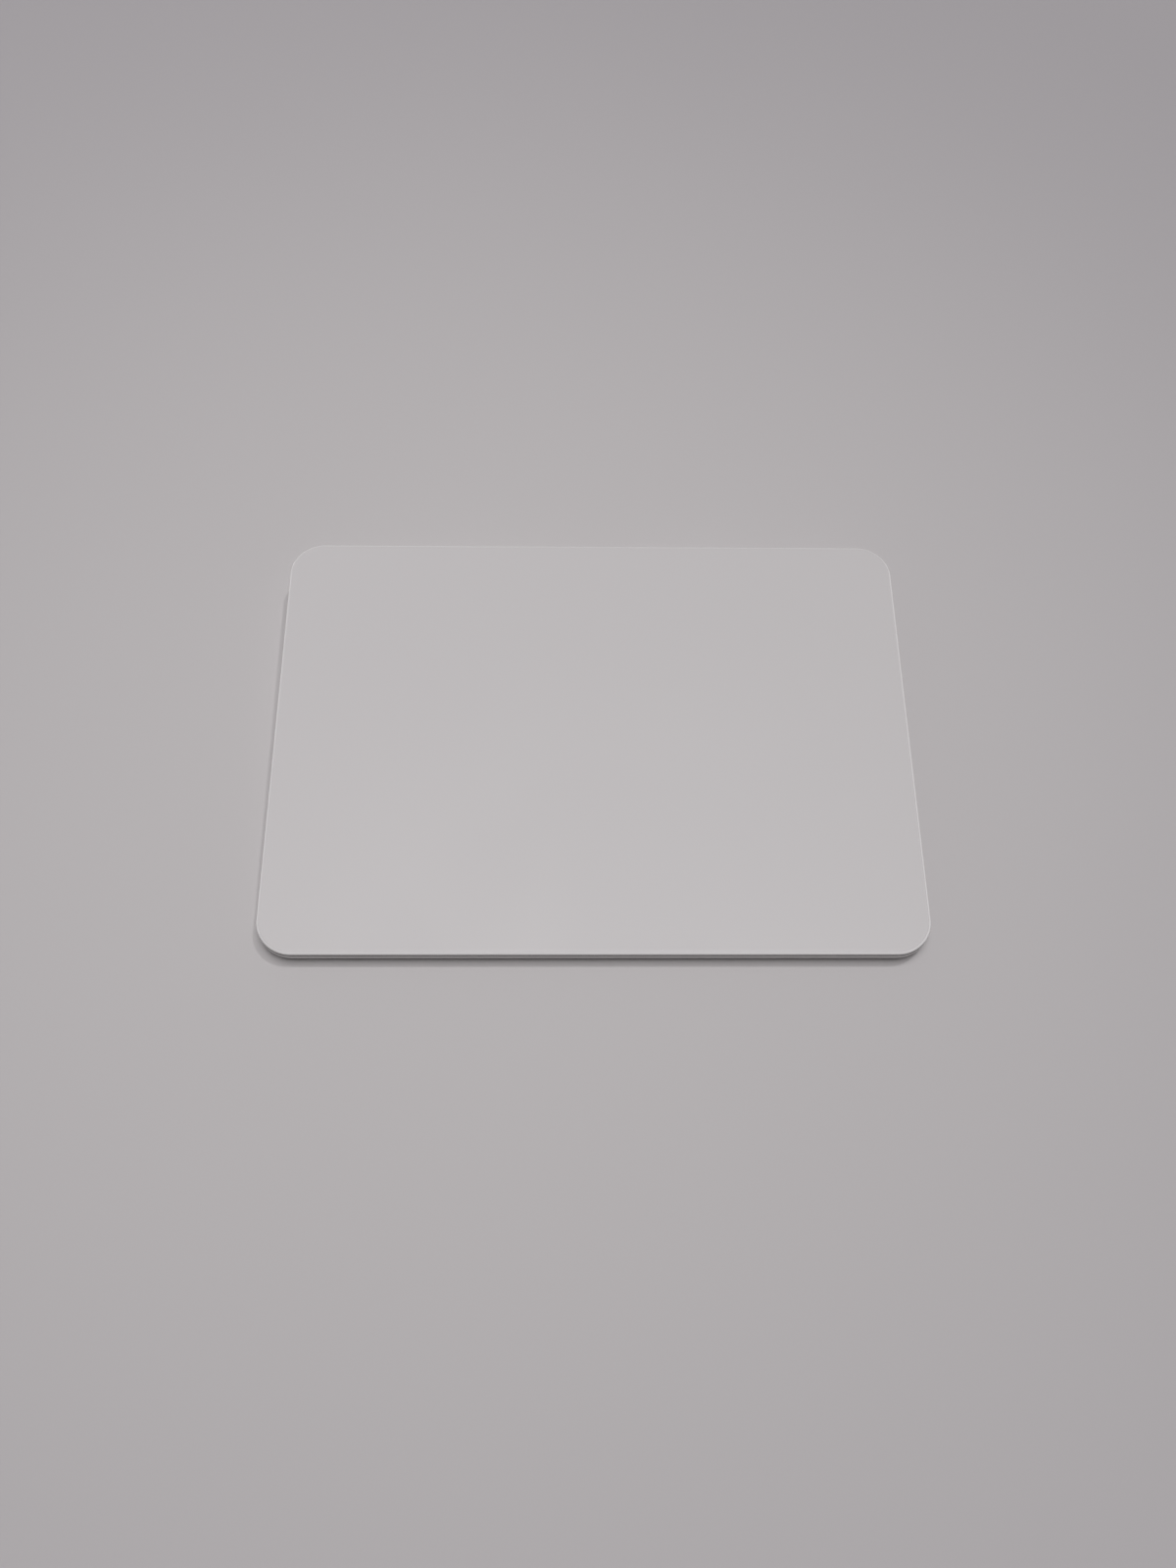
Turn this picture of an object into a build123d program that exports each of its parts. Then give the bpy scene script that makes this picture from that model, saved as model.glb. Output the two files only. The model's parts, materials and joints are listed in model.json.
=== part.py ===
from build123d import *
import math
import os

# A slim wireless desk trackpad. A glass touch plate covers the whole top. It floats on four leaf
# flexures in a wedge-shaped metal housing, so that it goes down under a finger, and a magnetic
# haptic engine shifts it sideways. A plastic cover closes the housing from below.
# Millimetres. +Z is up, +Y points away from the user and +X to the user's right. The origin lies
# on the desk under the middle of the footprint. A depth or drop is measured square to the
# sloping touch surface, downwards from it.

# Overall size
width = 160.0
depth = 114.9
front_height = 4.9
back_height = 10.9
corner_radius = 8.7
least_corner = 0.5

# Travel of what moves
press_travel = 0.2
shift_travel = 0.15
switch_travel = 2.4

# Touch plate, from the top down
glass_thickness = 0.8
glass_edge_round = 0.4
glass_under_edge = 0.1
plate_bond_thickness = 0.1
sensor_thickness = 0.5
stiffener_bond_thickness = 0.1
stiffener_thickness = 0.4
sensor_side_clearance = 0.65
window_gap = 0.6

# Chips and socket under the sensor board
touch_chip_size = 7.0
touch_chip_height = 0.8
touch_chip_pitch = 11.0
touch_chip_count = 3
touch_chip_inset = 22.45
socket_height = 0.9
sensor_socket_length = 8.0
sensor_socket_breadth = 4.0

# Housing
wall = 2.0
rim_clearance = 0.35
rim_edge = 0.05
opening_edge = 0.12
lower_round = 2.0
web_thickness = 0.7
thread_gap = 0.03
thread_end_gap = 0.1
screw_head_gap = 0.1

# Cover and feet
foot_stand = 0.6
cover_thickness = 0.7
cover_edge = 0.1
cover_rim = 4.5
cover_gap = 0.12
cover_bond_thickness = 0.1
cover_bond_margin = 0.6
cover_bond_breadth = 3.0
foot_radius = 5.0
foot_edge_round = 0.35
foot_side_inset = 15.0
foot_end_inset = 14.0
foot_recess = 0.3
foot_gap = 0.1
foot_bond_thickness = 0.1

# Flexures, gel pads and tabs, one set in each corner
leaf_thickness = 0.3
leaf_breadth = 7.0
leaf_free = 9.0
leaf_root = 5.0
gauge_length = 5.0
gauge_breadth = 3.5
gauge_thickness = 0.08
gel_length = 7.0
gel_breadth = 6.0
gel_thickness = 0.35
tab_length = 8.0
tab_thickness = 0.35
tab_wall_gap = 3.2
tab_margin = 0.4
tab_seat_gap = 0.2
bush_radius = 1.2
bush_rise = 0.55
bush_leaf_gap = 0.4
tab_screw_radius = 0.55
tab_screw_head_radius = 1.1
tab_screw_head = 0.3
tab_screw_recess = 0.42
rivet_radius = 0.5
rivet_head_radius = 0.9
rivet_head = 0.2
rivet_spacing = 3.6
rivet_gap = 0.05

# Haptic engine: two E-shaped cores face one armature across narrow gaps
haptic_share = 0.096
armature_length = 6.0
armature_post_radius = 1.6
armature_post_offset = 5.0
armature_screw_radius = 0.5
armature_screw_head_radius = 1.0
armature_screw_head = 0.3
armature_screw_recess = 0.35
pole_clearance = 0.2
core_length = 20.0
core_thickness = 1.2
core_back = 4.0
core_outer_leg = 3.0
core_middle_leg = 5.0
core_slot = 3.0
core_land = 3.0
coil_wall = 0.35
coil_gap = 0.05
coil_seat_gap = 0.05
coil_end_gap = 0.6
coil_slot_clearance = 0.8
bracket_thickness = 0.3
bracket_margin = 1.0
bracket_ear = 5.5
haptic_screw_radius = 0.7
haptic_screw_head_radius = 1.3
haptic_screw_head = 0.45
haptic_screw_inset = 2.5

# Flat cables
cable_thickness = 0.2
haptic_cable_breadth = 4.0
haptic_cable_arm = 2.0
haptic_cable_bend = 0.3
rib_breadth = 5.5
cable_lane = 3.0
lane_gap = 0.3
battery_cable_breadth = 5.0
battery_cable_share = 0.094
battery_cable_overlap = 2.0
sensor_cable_breadth = 6.0
sensor_cable_bend = 1.2
sensor_cable_reach = 6.0

# Battery
cell_thickness = 3.0
cell_wall_gap = 4.0
cell_rib_gap = 0.6
cell_corner = 2.0
cell_edge = 0.8
cell_bond_thickness = 0.15
cell_bond_inset = 2.0
cell_tab_reach = 0.9
cell_tab_overlap = 1.5
cell_tab_breadth = 3.0
cell_tab_thickness = 0.15
cell_tab_inner = 7.5
cell_tab_outer = 24.0
protection_length = 60.0
protection_breadth = 3.6
protection_gap = 0.8
protection_pad_length = 6.0
protection_pad_x = 20.0

# Main board, with what stands on it
board_tab_gap = 3.0
board_breadth = 13.0
board_thickness = 0.7
board_lift = 0.7
board_screw_inset = 2.2
board_screw_radius = 0.5
board_screw_head_radius = 1.2
board_screw_head = 0.4
post_radius = 1.5
shield_share = 0.1625
shield_length = 22.0
shield_breadth = 9.0
shield_height = 1.6
shield_wall = 0.15
processor_size = 7.0
processor_height = 0.9
board_chip_size = 4.0
board_chip_height = 0.8
charger_chip_share = 0.081
driver_chip_share = 0.2625
small_part_length = 1.0
small_part_breadth = 0.5
small_part_height = 0.5
small_part_pitch = 1.6
small_part_count = 8
small_part_start = 6.0
small_part_inset = 1.2
socket_breadth = 3.0
socket_setback = 1.5
haptic_socket_length = 6.0
battery_socket_length = 7.0
sensor_plug_share = 0.1625
sensor_plug_setback = 3.0

# Charging port, a standard small reversible one
port_mouth_length = 8.34
port_mouth_height = 2.56
port_wall = 0.3
port_depth = 7.35
port_setback = 0.35
port_gap = 0.12
port_block = 1.4
tongue_length = 6.69
tongue_thickness = 0.7
tongue_reach = 4.45
contact_count = 12
contact_pitch = 0.5
contact_breadth = 0.25
contact_length = 3.4
contact_thickness = 0.04
contact_setback = 0.5
strap_breadth = 4.0
strap_thickness = 0.3
strap_gap = 0.1
strap_ear = 3.2
strap_setback = 0.4

# Power switch
switch_share = 0.3125
nub_length = 4.4
nub_height = 2.2
nub_gap = 0.15
nub_setback = 0.15
scoop_margin = 0.7
scoop_depth = 0.5
slider_thickness = 0.5
slider_height = 3.6
slider_cover = 0.6
slider_wall_gap = 0.25
slider_body_gap = 0.15
slider_tongue_length = 1.2
slider_tongue_reach = 1.1
slider_tongue_height = 0.9
groove_gap = 0.15
strip_thickness = 0.1
strip_margin = 0.3
strip_fit = 0.05
switch_body_length = 10.0
switch_body_breadth = 3.2
switch_body_height = 3.2

# Antenna
antenna_share = 0.3125
antenna_length = 22.0
antenna_breadth = 9.0
antenna_height = 3.0
antenna_gap = 1.0
antenna_ledge = 1.0
foil_inset = 0.8
foil_thickness = 0.1
foil_tail_breadth = 3.0
foil_tail_reach = 3.0
clip_setback = 0.8
clip_length = 2.2
clip_breadth = 1.6
clip_thickness = 0.15
clip_bend = 0.3

# The slope, and a length that outruns the whole object in any cut
slope = math.degrees(math.atan2(back_height - front_height, depth))
cos_slope = math.cos(math.radians(slope))
span = 2 * (width + depth)

# Gaps that the travel opens or closes
rim_gap = press_travel + rim_clearance
sensor_wall_gap = shift_travel + sensor_side_clearance
pole_gap = shift_travel + pole_clearance

# Depths below the touch surface
sensor_top = glass_thickness + plate_bond_thickness
sensor_under = sensor_top + sensor_thickness
stiffener_top = sensor_under + stiffener_bond_thickness
plate_under = stiffener_top + stiffener_thickness
rim_drop = glass_thickness + rim_gap
leaf_under = plate_under + leaf_thickness
tab_top = leaf_under + gel_thickness
tab_under = tab_top + tab_thickness
bush_top = tab_top - bush_rise

# Heights above the desk
cover_top = foot_stand + cover_thickness
web_under = cover_top + cover_bond_thickness
web_top = web_under + web_thickness
board_under = web_top + board_lift
board_top = board_under + board_thickness
bracket_top = web_top + bracket_thickness
core_lift = coil_wall + coil_gap + coil_seat_gap
core_under = bracket_top + core_lift

# Inner faces of the side walls
inside_x = width / 2 - wall
inside_y = depth / 2 - wall

# Places along the width and the depth
touch_chip_y = touch_chip_inset - depth / 2
haptic_y = -haptic_share * depth
antenna_x = -antenna_share * width
sensor_plug_x = -sensor_plug_share * width
battery_cable_x = -battery_cable_share * width
charger_chip_x = -charger_chip_share * width
shield_x = shield_share * width
driver_chip_x = driver_chip_share * width
switch_x = switch_share * width

# Corner sets
bush_spacing = leaf_breadth + 2 * (bush_leaf_gap + bush_radius)
tab_breadth = bush_spacing + 2 * (bush_radius + tab_margin)
pad_x = inside_x - tab_wall_gap - tab_length / 2
pad_y = inside_y - tab_wall_gap - tab_breadth / 2
leaf_length = gel_length + leaf_free + leaf_root
leaf_x = pad_x + gel_length / 2 - leaf_length / 2
free_x = pad_x - gel_length / 2 - leaf_free / 2
root_x = pad_x - gel_length / 2 - leaf_free - leaf_root / 2
corners = {
    "front_left": (-1, -1),
    "front_right": (1, -1),
    "back_left": (-1, 1),
    "back_right": (1, 1),
}

# Haptic engine
core_breadth = 2 * core_outer_leg + core_middle_leg + 2 * core_slot
pole_x = armature_length / 2 + pole_gap
core_end_x = pole_x + core_length
coil_side = core_slot - coil_gap - coil_slot_clearance
coil_breadth = core_middle_leg + 2 * (coil_gap + coil_side)
coil_length = core_length - core_back - 2 * coil_end_gap
coil_x = pole_x + coil_end_gap + coil_length / 2
bracket_breadth = core_breadth + 2 * bracket_margin
bracket_back = haptic_y + bracket_breadth / 2
haptic_screw_x = core_end_x + bracket_ear / 2
haptic_screw_offset = core_breadth / 2 - haptic_screw_inset

# Boards and battery, from the back wall forwards
slider_back = inside_y - slider_wall_gap
slider_front = slider_back - slider_thickness
board_back = slider_front - slider_body_gap
board_front = board_back - board_breadth
board_y = (board_front + board_back) / 2
board_left = antenna_x + antenna_length / 2 + antenna_gap
board_right = pad_x - tab_length / 2 - board_tab_gap
small_part_x = board_left + small_part_start
protection_back = board_front - protection_gap
protection_front = protection_back - protection_breadth
cell_back = protection_front - cell_tab_reach
cell_front = bracket_back + cable_lane
cell_inner = rib_breadth / 2 + cell_rib_gap
cell_outer = inside_x - cell_wall_gap
socket_front = board_front + socket_setback
socket_y = socket_front + socket_breadth / 2
sensor_plug_y = board_front + sensor_plug_setback + sensor_socket_breadth / 2

# Port and switch
port_length = port_mouth_length + 2 * port_wall
port_height = port_mouth_height + 2 * port_wall
port_z = board_top + port_height / 2
port_front = depth / 2 - port_setback
port_end = port_front - port_depth
strap_y = port_end + strap_setback + strap_breadth / 2
strap_side = port_length / 2 + strap_gap
strap_screw_x = strap_side + strap_thickness + strap_ear / 2
slot_length = nub_length + switch_travel + 2 * nub_gap
slot_height = nub_height + 2 * nub_gap
nub_x = switch_x - switch_travel / 2
slider_length = slot_length + switch_travel + 2 * slider_cover

on_base = (Align.CENTER, Align.CENTER, Align.MIN)
from_top = (Align.CENTER, Align.CENTER, Align.MAX)
plate_frame = Pos(0, -depth / 2, front_height) * Rot(slope, 0, 0)


def surface_z(y):
    # height of the touch surface above the desk
    return front_height + (y + depth / 2) * (back_height - front_height) / depth


def drop_to(y, z):
    # drop from the touch surface to a height above the desk
    return (surface_z(y) - z) / cos_slope


def on_plate(x, y, drop):
    # a place below the touch surface, turned with its slope
    return plate_frame * Pos(x, (y + depth / 2) / cos_slope, -drop)


def footprint(inset):
    corner = max(corner_radius - inset, least_corner)
    return RectangleRounded(width - 2 * inset, depth - 2 * inset, corner)


def slab(upper, lower):
    # all that lies between two drops
    return plate_frame * Pos(0, 0, -lower) * Box(span, span, lower - upper, align=on_base)


def layer(outline, upper, lower):
    # a sheet with upright edges that follows the slope
    return extrude(outline, amount=span) & slab(upper, lower)


def broad_faces(shape):
    # the two largest faces, the lower one first
    return shape.faces().sort_by(SortBy.AREA)[-2:].sort_by(Axis.Z)


def block(x, y, z, length, breadth, height):
    return Pos(x, y, z) * Box(length, breadth, height, align=on_base)


def block_between(left, right, front, back, low, high):
    middle = Pos((left + right) / 2, (front + back) / 2, low)
    return middle * Box(right - left, back - front, high - low, align=on_base)


def rod(x, y, z, radius, height):
    return Pos(x, y, z) * Cylinder(radius, height, align=on_base)


def plate_block(x, y, drop, length, breadth, height):
    return on_plate(x, y, drop) * Box(length, breadth, height, align=from_top)


def plate_rod(x, y, drop, radius, height):
    return on_plate(x, y, drop) * Cylinder(radius, height, align=from_top)


def slot_bar(x, front, back, z, length, height):
    # a bar with round ends to its section, which runs along Y
    section = Pos(x, back, z) * Rot(90, 0, 0) * SlotOverall(length, height)
    return extrude(section, amount=back - front)


def slot_edge(x, z, length, height):
    # breaks the sharp edge of a slot in the housing's back face
    section = Pos(x, depth / 2, z) * Rot(90, 0, 0)
    section = section * SlotOverall(length + 2 * opening_edge, height + 2 * opening_edge)
    return extrude(section, amount=opening_edge, taper=45)


def ribbon(points, bend, thickness, breadth, plane):
    # a flat strip that is bent along a line in a plane
    line = FilletPolyline(*points, radius=bend)
    return extrude(plane * trace(line, line_width=thickness), amount=breadth / 2, both=True)


def group(shapes):
    return Compound(children=list(shapes))


def corner_places():
    return [(name, sx * pad_x, sy * pad_y, sx) for name, (sx, sy) in corners.items()]


def bush_places():
    # the two threaded bushes of each corner's tab
    for name, x, y, side in corner_places():
        for end in (-1, 1):
            yield x, y + end * bush_spacing / 2


def tab_screw_seat(y):
    return drop_to(y, web_under + tab_screw_recess)


def board_screw_places():
    for x in (board_left + board_screw_inset, board_right - board_screw_inset):
        for y in (board_front + board_screw_inset, board_back - board_screw_inset):
            yield x, y


def strap_screw_places():
    return [(-strap_screw_x, strap_y), (strap_screw_x, strap_y)]


def haptic_screw_places():
    for side in (-1, 1):
        for end in (-1, 1):
            yield side * haptic_screw_x, haptic_y + end * haptic_screw_offset


def armature_screw_places():
    return [(0, haptic_y - armature_post_offset), (0, haptic_y + armature_post_offset)]


def foot_places():
    for name, (sx, sy) in corners.items():
        yield name, sx * (width / 2 - foot_side_inset), sy * (depth / 2 - foot_end_inset)


def touch_glass():
    plate = layer(footprint(0), 0, glass_thickness)
    plate = fillet(broad_faces(plate)[1].edges(), glass_edge_round)
    return chamfer(broad_faces(plate)[0].edges(), glass_under_edge)


def sensor_outline():
    return footprint(wall + sensor_wall_gap)


def window(x, y, length, breadth):
    # an opening through the stiffener, with room round what stands in it
    return block(x, y, 0, length + 2 * window_gap, breadth + 2 * window_gap, span)


def stiffener_windows():
    chips_length = (touch_chip_count - 1) * touch_chip_pitch + touch_chip_size
    cuts = [window(0, touch_chip_y, chips_length, touch_chip_size)]
    cuts.append(window(sensor_plug_x, sensor_plug_y, sensor_socket_length, sensor_socket_breadth))
    for name, x, y, side in corner_places():
        inner = pad_x - gel_length / 2 - leaf_free
        outer = pad_x + tab_length / 2 + window_gap
        length = outer - inner
        breadth = tab_breadth + 2 * window_gap
        cuts.append(block(side * (inner + outer) / 2, y, 0, length, breadth, span))
    return cuts


def rivet_places():
    for name, x, y, side in corner_places():
        for end in (-1, 1):
            yield side * root_x, y + end * rivet_spacing / 2


def stiffener():
    plate = layer(sensor_outline(), stiffener_top, plate_under) - stiffener_windows()
    for x, y in rivet_places():
        plate -= plate_rod(x, y, 0, rivet_radius + rivet_gap, span)
    for x, y in armature_screw_places():
        plate -= rod(x, y, 0, armature_screw_radius + thread_gap, span)
    return plate


def stiffener_bond():
    return layer(sensor_outline(), sensor_under, stiffener_top) - stiffener_windows()


def touch_chips():
    first = -(touch_chip_count - 1) * touch_chip_pitch / 2
    for i in range(touch_chip_count):
        x = first + i * touch_chip_pitch
        size = touch_chip_size
        yield plate_block(x, touch_chip_y, sensor_under, size, size, touch_chip_height)


def sensor_socket():
    length = sensor_socket_length
    breadth = sensor_socket_breadth
    return plate_block(sensor_plug_x, sensor_plug_y, sensor_under, length, breadth, socket_height)


def armature():
    bar = block(0, haptic_y, core_under, armature_length, core_breadth, core_thickness)
    for x, y in armature_screw_places():
        bar += rod(x, y, core_under, armature_post_radius, span) & slab(plate_under, span)
    for x, y in armature_screw_places():
        bar -= rod(x, y, 0, armature_screw_radius + thread_gap, span)
        head = armature_screw_head_radius + screw_head_gap
        bar -= rod(x, y, 0, head, core_under + armature_screw_recess)
    return bar


def armature_screws():
    seat = core_under + armature_screw_recess
    for x, y in armature_screw_places():
        end = surface_z(y) - stiffener_top / cos_slope - thread_end_gap
        head_z = seat - armature_screw_head
        head = rod(x, y, head_z, armature_screw_head_radius, armature_screw_head)
        yield head + rod(x, y, seat, armature_screw_radius, end - seat)


def flexure(x, y, side):
    leaf = plate_block(side * leaf_x, y, plate_under, leaf_length, leaf_breadth, leaf_thickness)
    for end in (-1, 1):
        hole_y = y + end * rivet_spacing / 2
        leaf -= plate_rod(side * root_x, hole_y, 0, rivet_radius + rivet_gap, span)
    return leaf


def strain_gauges():
    for name, x, y, side in corner_places():
        drop = plate_under - gauge_thickness
        size = (gauge_length, gauge_breadth, gauge_thickness)
        yield plate_block(side * free_x, y, drop, *size)


def flexure_rivets():
    shank = leaf_thickness + stiffener_thickness
    for x, y in rivet_places():
        head = plate_rod(x, y, leaf_under, rivet_head_radius, rivet_head)
        yield head + plate_rod(x, y, stiffener_top, rivet_radius, shank)


def gel_pads():
    for name, x, y, side in corner_places():
        yield plate_block(x, y, leaf_under, gel_length, gel_breadth, gel_thickness)


def flexure_tabs():
    for name, x, y, side in corner_places():
        tab = plate_block(x, y, tab_top, tab_length, tab_breadth, tab_thickness)
        for end in (-1, 1):
            bush_y = y + end * bush_spacing / 2
            tab += plate_rod(x, bush_y, bush_top, bush_radius, tab_under - bush_top)
            tab -= plate_rod(x, bush_y, 0, tab_screw_radius + thread_gap, span)
        yield tab


def tab_screws():
    for x, y in bush_places():
        seat = tab_screw_seat(y)
        end = bush_top + thread_end_gap
        head = plate_rod(x, y, seat, tab_screw_head_radius, tab_screw_head)
        yield head + plate_rod(x, y, end, tab_screw_radius, seat - end)


def housing_blank():
    body = extrude(Pos(0, 0, foot_stand) * footprint(0), amount=span)
    body = fillet(body.faces().sort_by(Axis.Z)[0].edges(), lower_round)
    body = body & slab(rim_drop, span)
    body = chamfer(broad_faces(body)[1].edges(), rim_edge)
    return body - extrude(Pos(0, 0, web_top) * footprint(wall), amount=span)


def flexure_bosses():
    # columns under the tabs, cut off along the slope
    above = block(0, 0, web_under + web_thickness / 2, span, span, span)
    for name, x, y, side in corner_places():
        yield plate_block(x, y, tab_under, tab_length, tab_breadth, span) & above


def flexure_seats():
    # room over each boss, also where the slope comes down into the web
    length = tab_length + 2 * tab_seat_gap
    breadth = tab_breadth + 2 * tab_seat_gap
    for name, x, y, side in corner_places():
        yield on_plate(x, y, tab_under) * Box(length, breadth, span, align=on_base)


def cable_rib():
    # a low rib that carries the haptic cable between the cells and in front of them
    stem_end = board_front - protection_gap
    stem = block_between(
        -rib_breadth / 2, rib_breadth / 2, cell_front - lane_gap, stem_end, web_top, bracket_top
    )
    cross_end = coil_x + haptic_cable_arm
    front = bracket_back + lane_gap
    back = cell_front - lane_gap
    return stem + block_between(-cross_end, cross_end, front, back, web_top, bracket_top)


def post(x, y):
    low = web_under + web_thickness / 2
    return rod(x, y, low, post_radius, board_under - low)


def antenna_opening():
    length = antenna_length - 2 * antenna_ledge
    breadth = antenna_breadth - 2 * antenna_ledge
    return block(antenna_x, board_y, 0, length, breadth, web_top + web_thickness)


def housing():
    body = housing_blank()
    body -= extrude(Pos(0, 0, 0) * footprint(cover_rim - cover_gap), amount=web_under)
    body += list(flexure_bosses())
    body -= list(flexure_seats())
    for x, y in bush_places():
        body -= plate_rod(x, y, 0, tab_screw_radius + thread_gap, span)
        head = tab_screw_head_radius + screw_head_gap
        body -= plate_rod(x, y, tab_screw_seat(y), head, span)
    for x, y in list(board_screw_places()) + strap_screw_places():
        body += post(x, y)
        body -= rod(x, y, web_under, board_screw_radius + thread_gap, board_under)
    for x, y in haptic_screw_places():
        body -= rod(x, y, web_under, haptic_screw_radius + thread_gap, web_top)
    body += cable_rib()
    body -= antenna_opening()
    length = port_length + 2 * port_gap
    height = port_height + 2 * port_gap
    body -= slot_bar(0, inside_y - wall, depth / 2 + wall, port_z, length, height)
    body -= slot_edge(0, port_z, length, height)
    body -= slot_bar(switch_x, inside_y - wall, depth / 2 + wall, port_z, slot_length, slot_height)
    scoop = (slot_length + 2 * scoop_margin, slot_height + 2 * scoop_margin)
    body -= slot_bar(switch_x, depth / 2 - scoop_depth, depth / 2 + wall, port_z, *scoop)
    body -= slot_edge(switch_x, port_z, *scoop)
    return body


def bottom_cover():
    sheet = extrude(Pos(0, 0, foot_stand) * footprint(cover_rim), amount=cover_thickness)
    sheet = chamfer(broad_faces(sheet)[0].edges(), cover_edge)
    for name, x, y in foot_places():
        sheet -= rod(x, y, 0, foot_radius + foot_gap, foot_stand + foot_recess)
    return sheet


def cover_bond():
    outer = cover_rim + cover_bond_margin
    inner = outer + cover_bond_breadth
    ring = footprint(outer) - Rectangle(width - 2 * inner, depth - 2 * inner)
    return extrude(Pos(0, 0, cover_top) * ring, amount=cover_bond_thickness)


def foot(x, y):
    pad = rod(x, y, 0, foot_radius, foot_stand + foot_recess - foot_bond_thickness)
    return fillet(pad.faces().sort_by(Axis.Z)[0].edges(), foot_edge_round)


def foot_bonds():
    for name, x, y in foot_places():
        low = foot_stand + foot_recess - foot_bond_thickness
        yield rod(x, y, low, foot_radius, foot_bond_thickness)


def haptic_bracket():
    length = 2 * (core_end_x + bracket_ear)
    plate = block(0, haptic_y, web_top, length, bracket_breadth, bracket_thickness)
    for side in (-1, 1):
        back_x = side * (core_end_x - core_back / 2)
        plate += block(back_x, haptic_y, bracket_top, core_back, core_breadth, core_lift)
        tip_x = side * (pole_x + core_land / 2)
        for end in (-1, 1):
            tip_y = haptic_y + end * (core_breadth - core_outer_leg) / 2
            plate += block(tip_x, tip_y, bracket_top, core_land, core_outer_leg, core_lift)
    for x, y in haptic_screw_places():
        plate -= rod(x, y, 0, haptic_screw_radius + screw_head_gap, span)
    return plate


def haptic_screws():
    shank = bracket_top - web_under - thread_end_gap
    for x, y in haptic_screw_places():
        head = rod(x, y, bracket_top, haptic_screw_head_radius, haptic_screw_head)
        yield head + rod(x, y, bracket_top - shank, haptic_screw_radius, shank)


def haptic_core(side):
    middle_x = side * (pole_x + core_length / 2)
    core = block(middle_x, haptic_y, core_under, core_length, core_breadth, core_thickness)
    slot_x = side * (pole_x + (core_length - core_back) / 2)
    for end in (-1, 1):
        slot_y = haptic_y + end * (core_middle_leg + core_slot) / 2
        core -= block(slot_x, slot_y, 0, core_length - core_back, core_slot, span)
    return core


def haptic_coils():
    # a flat winding round the middle leg of each core
    low = core_under - coil_gap - coil_wall
    height = core_thickness + 2 * (coil_gap + coil_wall)
    for side in (-1, 1):
        coil = block(side * coil_x, haptic_y, low, coil_length, coil_breadth, height)
        coil = fillet(coil.edges().filter_by(Axis.X), coil_wall)
        inner_breadth = core_middle_leg + 2 * coil_gap
        inner_height = core_thickness + 2 * coil_gap
        bore = block(side * coil_x, haptic_y, low + coil_wall, span, inner_breadth, inner_height)
        yield coil - bore


def haptic_cable():
    # arms from the coils to a cross piece, and a stem between the cells to the main board
    low = bracket_top + cable_thickness / 2
    high = board_top + cable_thickness / 2
    start = bracket_back + lane_gap
    rise = board_front - protection_gap / 2
    points = [(start, low), (rise, low), (rise, high), (socket_front, high)]
    cable = ribbon(points, haptic_cable_bend, cable_thickness, haptic_cable_breadth, Plane.YZ)
    cross = coil_x + haptic_cable_arm / 2
    ends = (start, start + haptic_cable_arm)
    top = bracket_top + cable_thickness
    cable += block_between(-cross, cross, *ends, bracket_top, top)
    coil_edge = haptic_y + coil_breadth / 2
    for side in (-1, 1):
        left = side * coil_x - haptic_cable_arm / 2
        right = side * coil_x + haptic_cable_arm / 2
        cable += block_between(left, right, coil_edge, ends[1], bracket_top, top)
    return cable


def battery_cell(side):
    length = cell_outer - cell_inner
    breadth = cell_back - cell_front
    x = side * (cell_inner + cell_outer) / 2
    y = (cell_front + cell_back) / 2
    cell = block(x, y, web_top + cell_bond_thickness, length, breadth, cell_thickness)
    cell = fillet(cell.edges().filter_by(Axis.Z), cell_corner)
    return fillet(cell.faces().sort_by(Axis.Z)[-1].edges(), cell_edge)


def battery_bond():
    for side in (-1, 1):
        x = side * (cell_inner + cell_outer) / 2
        y = (cell_front + cell_back) / 2
        length = cell_outer - cell_inner - 2 * cell_bond_inset
        breadth = cell_back - cell_front - 2 * cell_bond_inset
        yield block(x, y, web_top, length, breadth, cell_bond_thickness)


def cell_tabs():
    # metal leads from the cells' back edges on to the protection board
    for x in (-cell_tab_outer, -cell_tab_inner, cell_tab_inner, cell_tab_outer):
        left = x - cell_tab_breadth / 2
        right = x + cell_tab_breadth / 2
        back = protection_front + cell_tab_overlap
        yield block_between(left, right, cell_back, back, board_top, board_top + cell_tab_thickness)


def protection_board():
    half = protection_length / 2
    return block_between(-half, half, protection_front, protection_back, board_under, board_top)


def protection_pads():
    y = (protection_front + protection_back) / 2
    for x in (-protection_pad_x, protection_pad_x):
        yield block(x, y, web_top, protection_pad_length, protection_breadth, board_lift)


def battery_cable():
    left = battery_cable_x - battery_cable_breadth / 2
    right = battery_cable_x + battery_cable_breadth / 2
    front = protection_back - battery_cable_overlap
    return block_between(left, right, front, socket_front, board_top, board_top + cable_thickness)


def board_socket(x, length):
    return block(x, socket_y, board_top, length, socket_breadth, socket_height)


def main_board():
    board = block_between(board_left, board_right, board_front, board_back, board_under, board_top)
    for x, y in list(board_screw_places()) + strap_screw_places():
        board -= rod(x, y, 0, board_screw_radius + screw_head_gap, span)
    return board


def board_screw(x, y, seat):
    shank = seat - web_under - thread_end_gap
    head = rod(x, y, seat, board_screw_head_radius, board_screw_head)
    return head + rod(x, y, seat - shank, board_screw_radius, shank)


def shield_can():
    can = block(shield_x, board_y, board_top, shield_length, shield_breadth, shield_height)
    length = shield_length - 2 * shield_wall
    breadth = shield_breadth - 2 * shield_wall
    return can - block(shield_x, board_y, board_top, length, breadth, shield_height - shield_wall)


def processor_chip():
    return block(shield_x, board_y, board_top, processor_size, processor_size, processor_height)


def board_chips():
    for x in (charger_chip_x, driver_chip_x):
        yield block(x, board_y, board_top, board_chip_size, board_chip_size, board_chip_height)


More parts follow.
